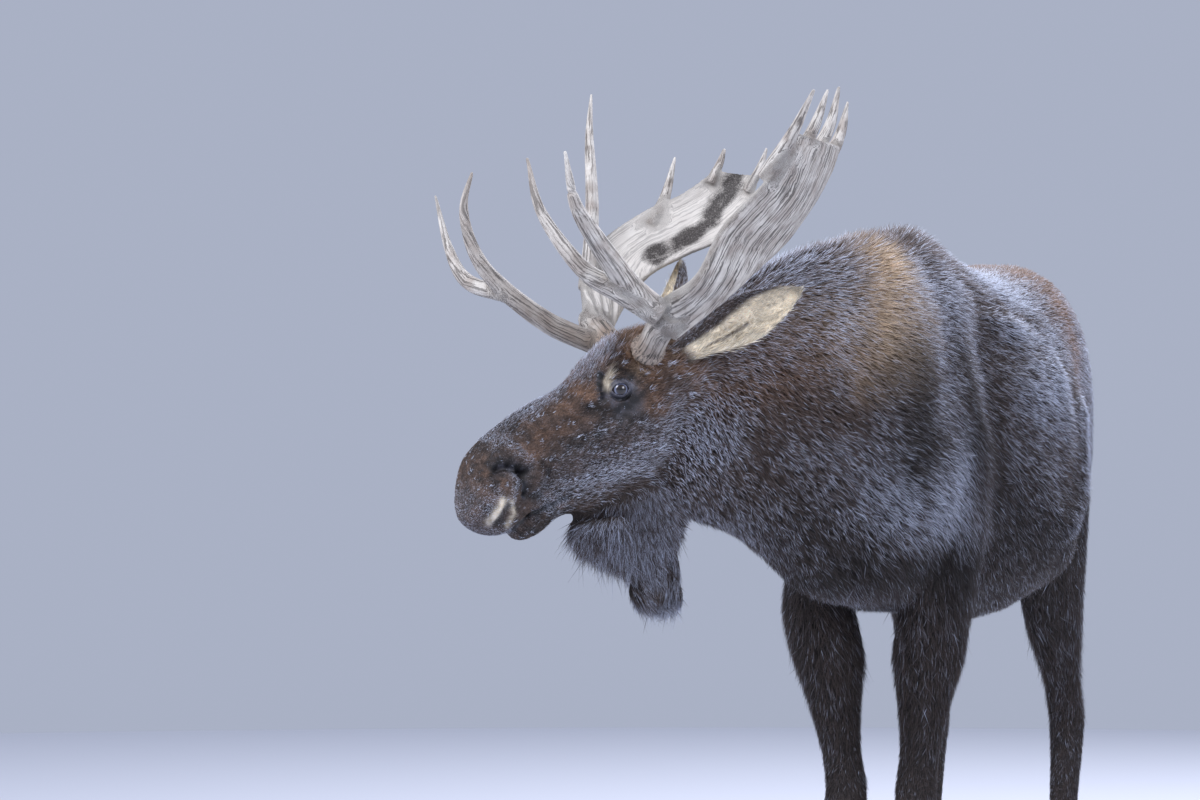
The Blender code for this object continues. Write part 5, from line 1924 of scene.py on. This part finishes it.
LEFT_PALM = (
    Rib((30, 200, 95), (-25, 200, 25), 0, 30),
    Rib((-16, 320, 155), (-160, 255, 155), 12, 18),
    Rib((-61, 369, 268), (-262, 244, 232), 22, 13),
    Rib((-142, 420, 371), (-331, 226, 308), 28, 11),
    Rib((-170, 455, 440), (-387, 220, 391), 28, 9),
    Rib((-195, 450, 480), (-410, 222, 450), 24, 7),
)
LEFT_TINES = (
    Tine(((30, 225, 85), (99, 235, 140), (205, 295, 243), (270, 330, 323), (303, 350, 438)), 32),
    Tine(((30, 225, 80), (110, 225, 125), (200, 205, 180), (279, 160, 303), (306, 140, 424)), 28),
    Tine(((-150, 400, 380), (-182, 470, 470), (-209, 530, 571)), 20),
    Tine(((-230, 360, 400), (-270, 395, 490), (-298, 410, 574)), 18),
    Tine(((-290, 300, 400), (-345, 310, 490), (-370, 310, 582)), 18),
    Tine(((-350, 240, 380), (-410, 222, 470), (-438, 210, 551)), 18),
)
RIGHT_PALM = (
    Rib((20, -200, 75), (-25, -200, 15), 0, 30),
    Rib((-16, -320, 155), (-140, -263, 144), 12, 18),
    Rib((-75, -350, 235), (-240, -246, 205), 20, 13),
    Rib((-200, -365, 310), (-331, -226, 248), 24, 11),
    Rib((-275, -345, 345), (-390, -222, 320), 24, 9),
    Rib((-345, -310, 400), (-415, -222, 390), 16, 7),
)
RIGHT_TINES = (
    Tine((
        (10, -150, 5), (119, -170, 52), (223, -175, 124),
        (297, -175, 204), (333, -165, 310), (322, -140, 394),
    ), 26),
    Tine(((223, -175, 120), (284, -260, 148), (309, -310, 219), (328, -350, 343)), 20),
    Tine(((-15, -290, 130), (-60, -360, 302), (-108, -490, 472), (-143, -560, 576)), 18),
    Tine(((-200, -350, 270), (-245, -372, 335), (-284, -400, 431)), 18),
    Tine(((-330, -310, 370), (-355, -310, 415), (-367, -310, 449)), 12),
    Tine(((-390, -235, 350), (-416, -222, 405), (-431, -215, 451)), 12),
)


# The line along which the right palm is stained, in millimetres.
RIGHT_PATCH = ((-185, -280, 205), (-281, -277, 266), (-335, -281, 328), (-375, -270, 385))


@dataclass
class Grain:
    """Where a point of a form lies in the grain of the bone, and what its surface shows there."""

    around: Points
    growth: Points
    third: Points
    clean: Points
    stain: Points


@dataclass
class Antler:
    """One antler: beam, palm and tines melted into one, with a beaded burr at its foot."""

    name: str
    side: int
    ribs: Sequence[Rib]
    tines: Sequence[Tine]
    nodes: Sequence[str]
    patch: tuple = ()
    upper_clean: float = 0.8
    lower_clean: float = 0.1
    voxel: float = 0.0025
    triangles: int = 88_000
    burr_radius: float = 39.5  # in millimetres, and so are the next two
    beam_radius: float = 32
    tip_radius: float = 3.5
    stretch: float = 30.0

    def beam(self) -> tuple[Form, Grain]:
        """The swollen burr and the short beam."""
        lift = 12 if self.side > 0 else 0
        radius = self.beam_radius
        line = (
            (40, -45, radius - 4),
            (85, -13, radius - 2),
            (96, -4, self.burr_radius - 2),
            (103, 0, self.burr_radius),
            (111, 5, self.burr_radius - 2),
            (122, 12, radius),
            (165, 32 + lift, radius),
            (205, 50 + lift, radius + 2),
            (235, 70 + lift, radius - 6),
        )
        sections = cross_sections(*((0, self.side * out, up, size, size, size) for out, up, size in line))
        form = loft(sections, up=NOSEWARD, count=32)
        return form, self.round_grain(form, sections, 0.0, 0.1, 0.9)

    def tine(self, tine: Tine, number: int) -> tuple[Form, Grain]:
        """A tine, thinning slowly at first and faster to its tip."""
        shares = np.linspace(0, 1, len(tine.line))
        sizes = tine.radius + (self.tip_radius - tine.radius) * shares**1.6
        sections = cross_sections(*((*place, size, size, size) for place, size in zip(tine.line, sizes)))
        form = loft(sections, up=Vector((0.3, 0.2, 1)), steps=10, count=20)
        return form, self.round_grain(form, sections, 0.3 * number, 0.15, 0.75)

    def round_grain(
        self, form: Form, sections: Sequence[Section], third: float, clean: float, stain: float
    ) -> Grain:
        """The grain of a round length: channels all round it, drawn out along it, and a rubbed tip."""
        line = np.array([section[:3] for section in sections])
        length = np.linalg.norm(np.diff(line, axis=0), axis=1).sum()
        off = form.points - np.column_stack([
            np.interp(form.share, np.linspace(0, 1, len(line)), line[:, axis]) for axis in range(3)
        ])
        flat = unit(np.cross(form.along, np.array([0.3, 0.2, 1])))
        high = np.cross(flat, form.along)
        tipped = ramp(form.share, 0.7, 1.0) if third else np.zeros(len(form.share))
        return Grain(
            (off * flat).sum(1),
            form.share * length / self.stretch,
            third + (off * high).sum(1),
            clean + 0.5 * tipped,
            stain * (1 - 0.5 * tipped),
        )

    def palm(self) -> tuple[Form, Grain]:
        """The palm: a cupped blade between its front and rear edges."""
        fronts = blended([rib.front for rib in self.ribs], 16) * MM
        rears = blended([rib.rear for rib in self.ribs], 16) * MM
        shapes = blended([(rib.cup, rib.half) for rib in self.ribs], 16) * MM
        across = 51
        share = np.linspace(0, 1, across)
        sag = 4 * share * (1 - share)
        count = 2 * across
        rings, spans = [], []
        middle_line = (fronts + rears) / 2
        growth = np.gradient(middle_line, axis=0)
        for front, rear, (cup, half), grown in zip(fronts, rears, shapes, growth):
            span = rear - front
            normal = unit(np.cross(span, grown))
            normal = normal if normal[2] > 0 else -normal
            thick = half * (0.35 + 0.65 * np.sqrt(sag)) * (1 + 0.10 * np.sin(share * 23))
            middle = front + span * share[:, None] - normal * (cup * sag)[:, None]
            depth = normal * thick[:, None]
            rings.append(np.vstack([middle + depth, (middle - depth)[::-1]]))
            spans.append(np.linalg.norm(span) * np.r_[share, share[::-1]])
        points = np.vstack([*rings, [rings[0].mean(0), rings[-1].mean(0)]])
        length = np.r_[0, np.cumsum(np.linalg.norm(np.diff(middle_line, axis=0), axis=1))]
        upper = np.tile(np.r_[np.ones(across), np.zeros(across)], len(rings))
        upper = np.r_[upper, 0.5, 0.5]
        grown_to = np.r_[np.repeat(length, count), 0, length[-1]]
        along = np.vstack([np.repeat(unit(growth), count, axis=0), unit(growth)[[0, -1]]])
        faces = ring_faces(len(rings), count)
        ends = np.r_[np.repeat(np.linspace(0, 1, len(rings)), count), 0, 1]
        form = Form(points, faces, along, np.zeros(len(points)), ends, Area.HEAD)
        clean = self.lower_clean + (self.upper_clean - self.lower_clean) * upper
        grain = Grain(
            np.r_[np.concatenate(spans), 0, 0], grown_to / self.stretch, 5 + upper, clean, 0.85 - 0.45 * upper
        )
        return form, grain

    def build(self) -> bpy.types.Object:
        """Melts the antler together, beads its burr and gives it its grain."""
        made = [self.beam(), self.palm(), *(self.tine(tine, 1 + n) for n, tine in enumerate(self.tines))]
        forms = [form.placed(LEVEL) for form, _ in made]
        obj = melted(forms, self.name, self.voxel, 7)
        thin = obj.modifiers.new("Thin", "DECIMATE")
        thin.ratio = self.triangles / len(obj.data.polygons)
        settle(obj)
        points = points_of(obj.data)
        nearest = nearest_of(points, np.vstack([form.points for form in forms]))
        edges = edges_of(obj.data)
        kept = {
            name: evened(np.concatenate([getattr(grain, name) for _, grain in made])[nearest], edges, 8)
            for name in ("around", "growth", "third", "clean", "stain")
        }
        local = within(LEVEL, points)
        out = np.abs(local[:, 1])
        burr = np.exp(-(((out - 0.103) / 0.010) ** 2)) * (np.hypot(local[:, 0], local[:, 2]) < 0.07)
        beads = np.clip(mottle(points, 0.006, 5) + 0.3 * mottle(points, 0.003, 6), -0.6, 1)
        channels = mottle(np.column_stack([kept["around"], kept["growth"], kept["third"]]), 0.006, 8)
        rise = 3.2 * MM * burr * beads + 0.9 * MM * channels * (1 - burr)
        set_points(obj.data, points + normals_of(obj.data) * rise[:, None])
        kept["burr"] = 0.85 * np.exp(-((np.maximum(out - 0.105, 0) / 0.05) ** 2))
        kept["patch"] = np.zeros(len(points))
        if self.patch:
            gap = segment_distance(local, np.array(self.patch) / 1000) + 0.008 * mottle(points, 0.02, 9)
            kept["patch"] = ramp(-gap, -0.036, -0.018) * ramp(kept["clean"], 0.4, 0.6)
        unwrap(obj)
        for name, values in kept.items():
            store(obj.data, name, values)
        obj.data.shade_smooth()
        obj.data.materials.append(AntlerBone().material())
        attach(obj, BODY)
        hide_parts(*self.nodes)
        return obj


# ---- Hooves
@dataclass
class Foot:
    """The two hooves and the two dewclaws of one foot. Sizes are in millimetres."""

    leg: str
    x: float
    y: float
    toe: tuple = (
        (0, -4, 87.5, 20.5, 42, 43),
        (0, -10, 84, 22.5, 46, 46),
        (0, -24, 60, 25.5, 56, 52),
        (0, -32, 30, 26.5, 68, 58),
        (0, -37, 4, 27.5, 75.5, 60),
        (0, -38, 0, 26, 73, 57),
    )
    dewclaw: tuple = (
        (0, 62, 168, 12, 14, 12),
        (0, 76, 145, 14.5, 16.5, 15.5),
        (4, 87, 120, 10.5, 10.5, 9.5),
        (4, 88.5, 116.5, 6, 6, 5),
    )

    def build(self, horn: bpy.types.Material) -> bpy.types.Object:
        """Builds the foot's horn as one piece."""
        forms = []
        for side in (-1, 1):
            for apart, rows, steps, count in ((27.5, self.toe, 5, 36), (26, self.dewclaw, 4, 24)):
                sections = cross_sections(*(
                    (self.x + side * (apart + x), self.y + y, *rest) for x, y, *rest in rows
                ))
                form = loft(sections, up=FORWARD, facing=DOWNWARD, steps=steps, count=count)
                form = form.placed(BODY_FRAME)
                form.faces = faced_out(form.points, form.faces)
                forms.append(form)
        mesh = joined(forms, "horn_" + self.leg)
        made = add_object("horn_" + self.leg, mesh)
        unwrap(made)
        mesh.materials.append(horn)
        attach(made, BODY)
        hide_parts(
            *(f"{self.leg}_{kind}_{side}" for kind in ("hoof", "dewclaw") for side in ("left", "right"))
        )
        return made


def main() -> None:
    """Builds the moose in order and reports the hide, each piece of the coat and the antlers."""
    logging.basicConfig(level=logging.INFO, format="%(message)s")
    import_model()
    studio = Studio()
    studio.place_camera()
    studio.light()
    studio.lay_floor()
    eyes = [Eye(1), Eye(-1)]
    ears = [
        Ear("ear_left", (-0.098, 0.100, 0.000), (-0.323, 0.220, 0.135), (0.43, 0.90, 0.0)),
        Ear("ear_right", (-0.098, -0.100, 0.000), (-0.245, -0.270, 0.193), (0.87, -0.2, 0.46)),
    ]
    hide = Hide(eyes, ears)
    hide.build()
    LOG.info("hide: %d triangles", len(hide.triangle_corners))
    for eye in eyes:
        eye.ball("eye")
    Coat(hide, share=1.0).build()
    for antler in (
        Antler(
            "antler_left", 1, LEFT_PALM, LEFT_TINES,
            [f"antler_left_{part}" for part in ("beam", "palm", "brow_inner", "brow_outer")],
        ),
        Antler(
            "antler_right", -1, RIGHT_PALM, RIGHT_TINES,
            [f"antler_right_{part}" for part in ("beam", "palm", "brow_inner", "brow_outer", "point")],
            patch=RIGHT_PATCH,
        ),
    ):
        LOG.info("%s: %d triangles", antler.name, len(antler.build().data.polygons))
    legs = Legs()
    horn = HoofHorn().material()
    for leg, x, y in (
        ("foreleg_left", legs.left_knee, legs.fore_coronet),
        ("foreleg_right", -legs.right_knee, legs.fore_coronet),
        ("hindleg_left", legs.hind_foot, legs.hind_coronet),
        ("hindleg_right", -legs.hind_foot, legs.hind_coronet - legs.hind_stride),
    ):
        Foot(leg, x, y).build(horn)


if __name__ == "__main__":
    main()
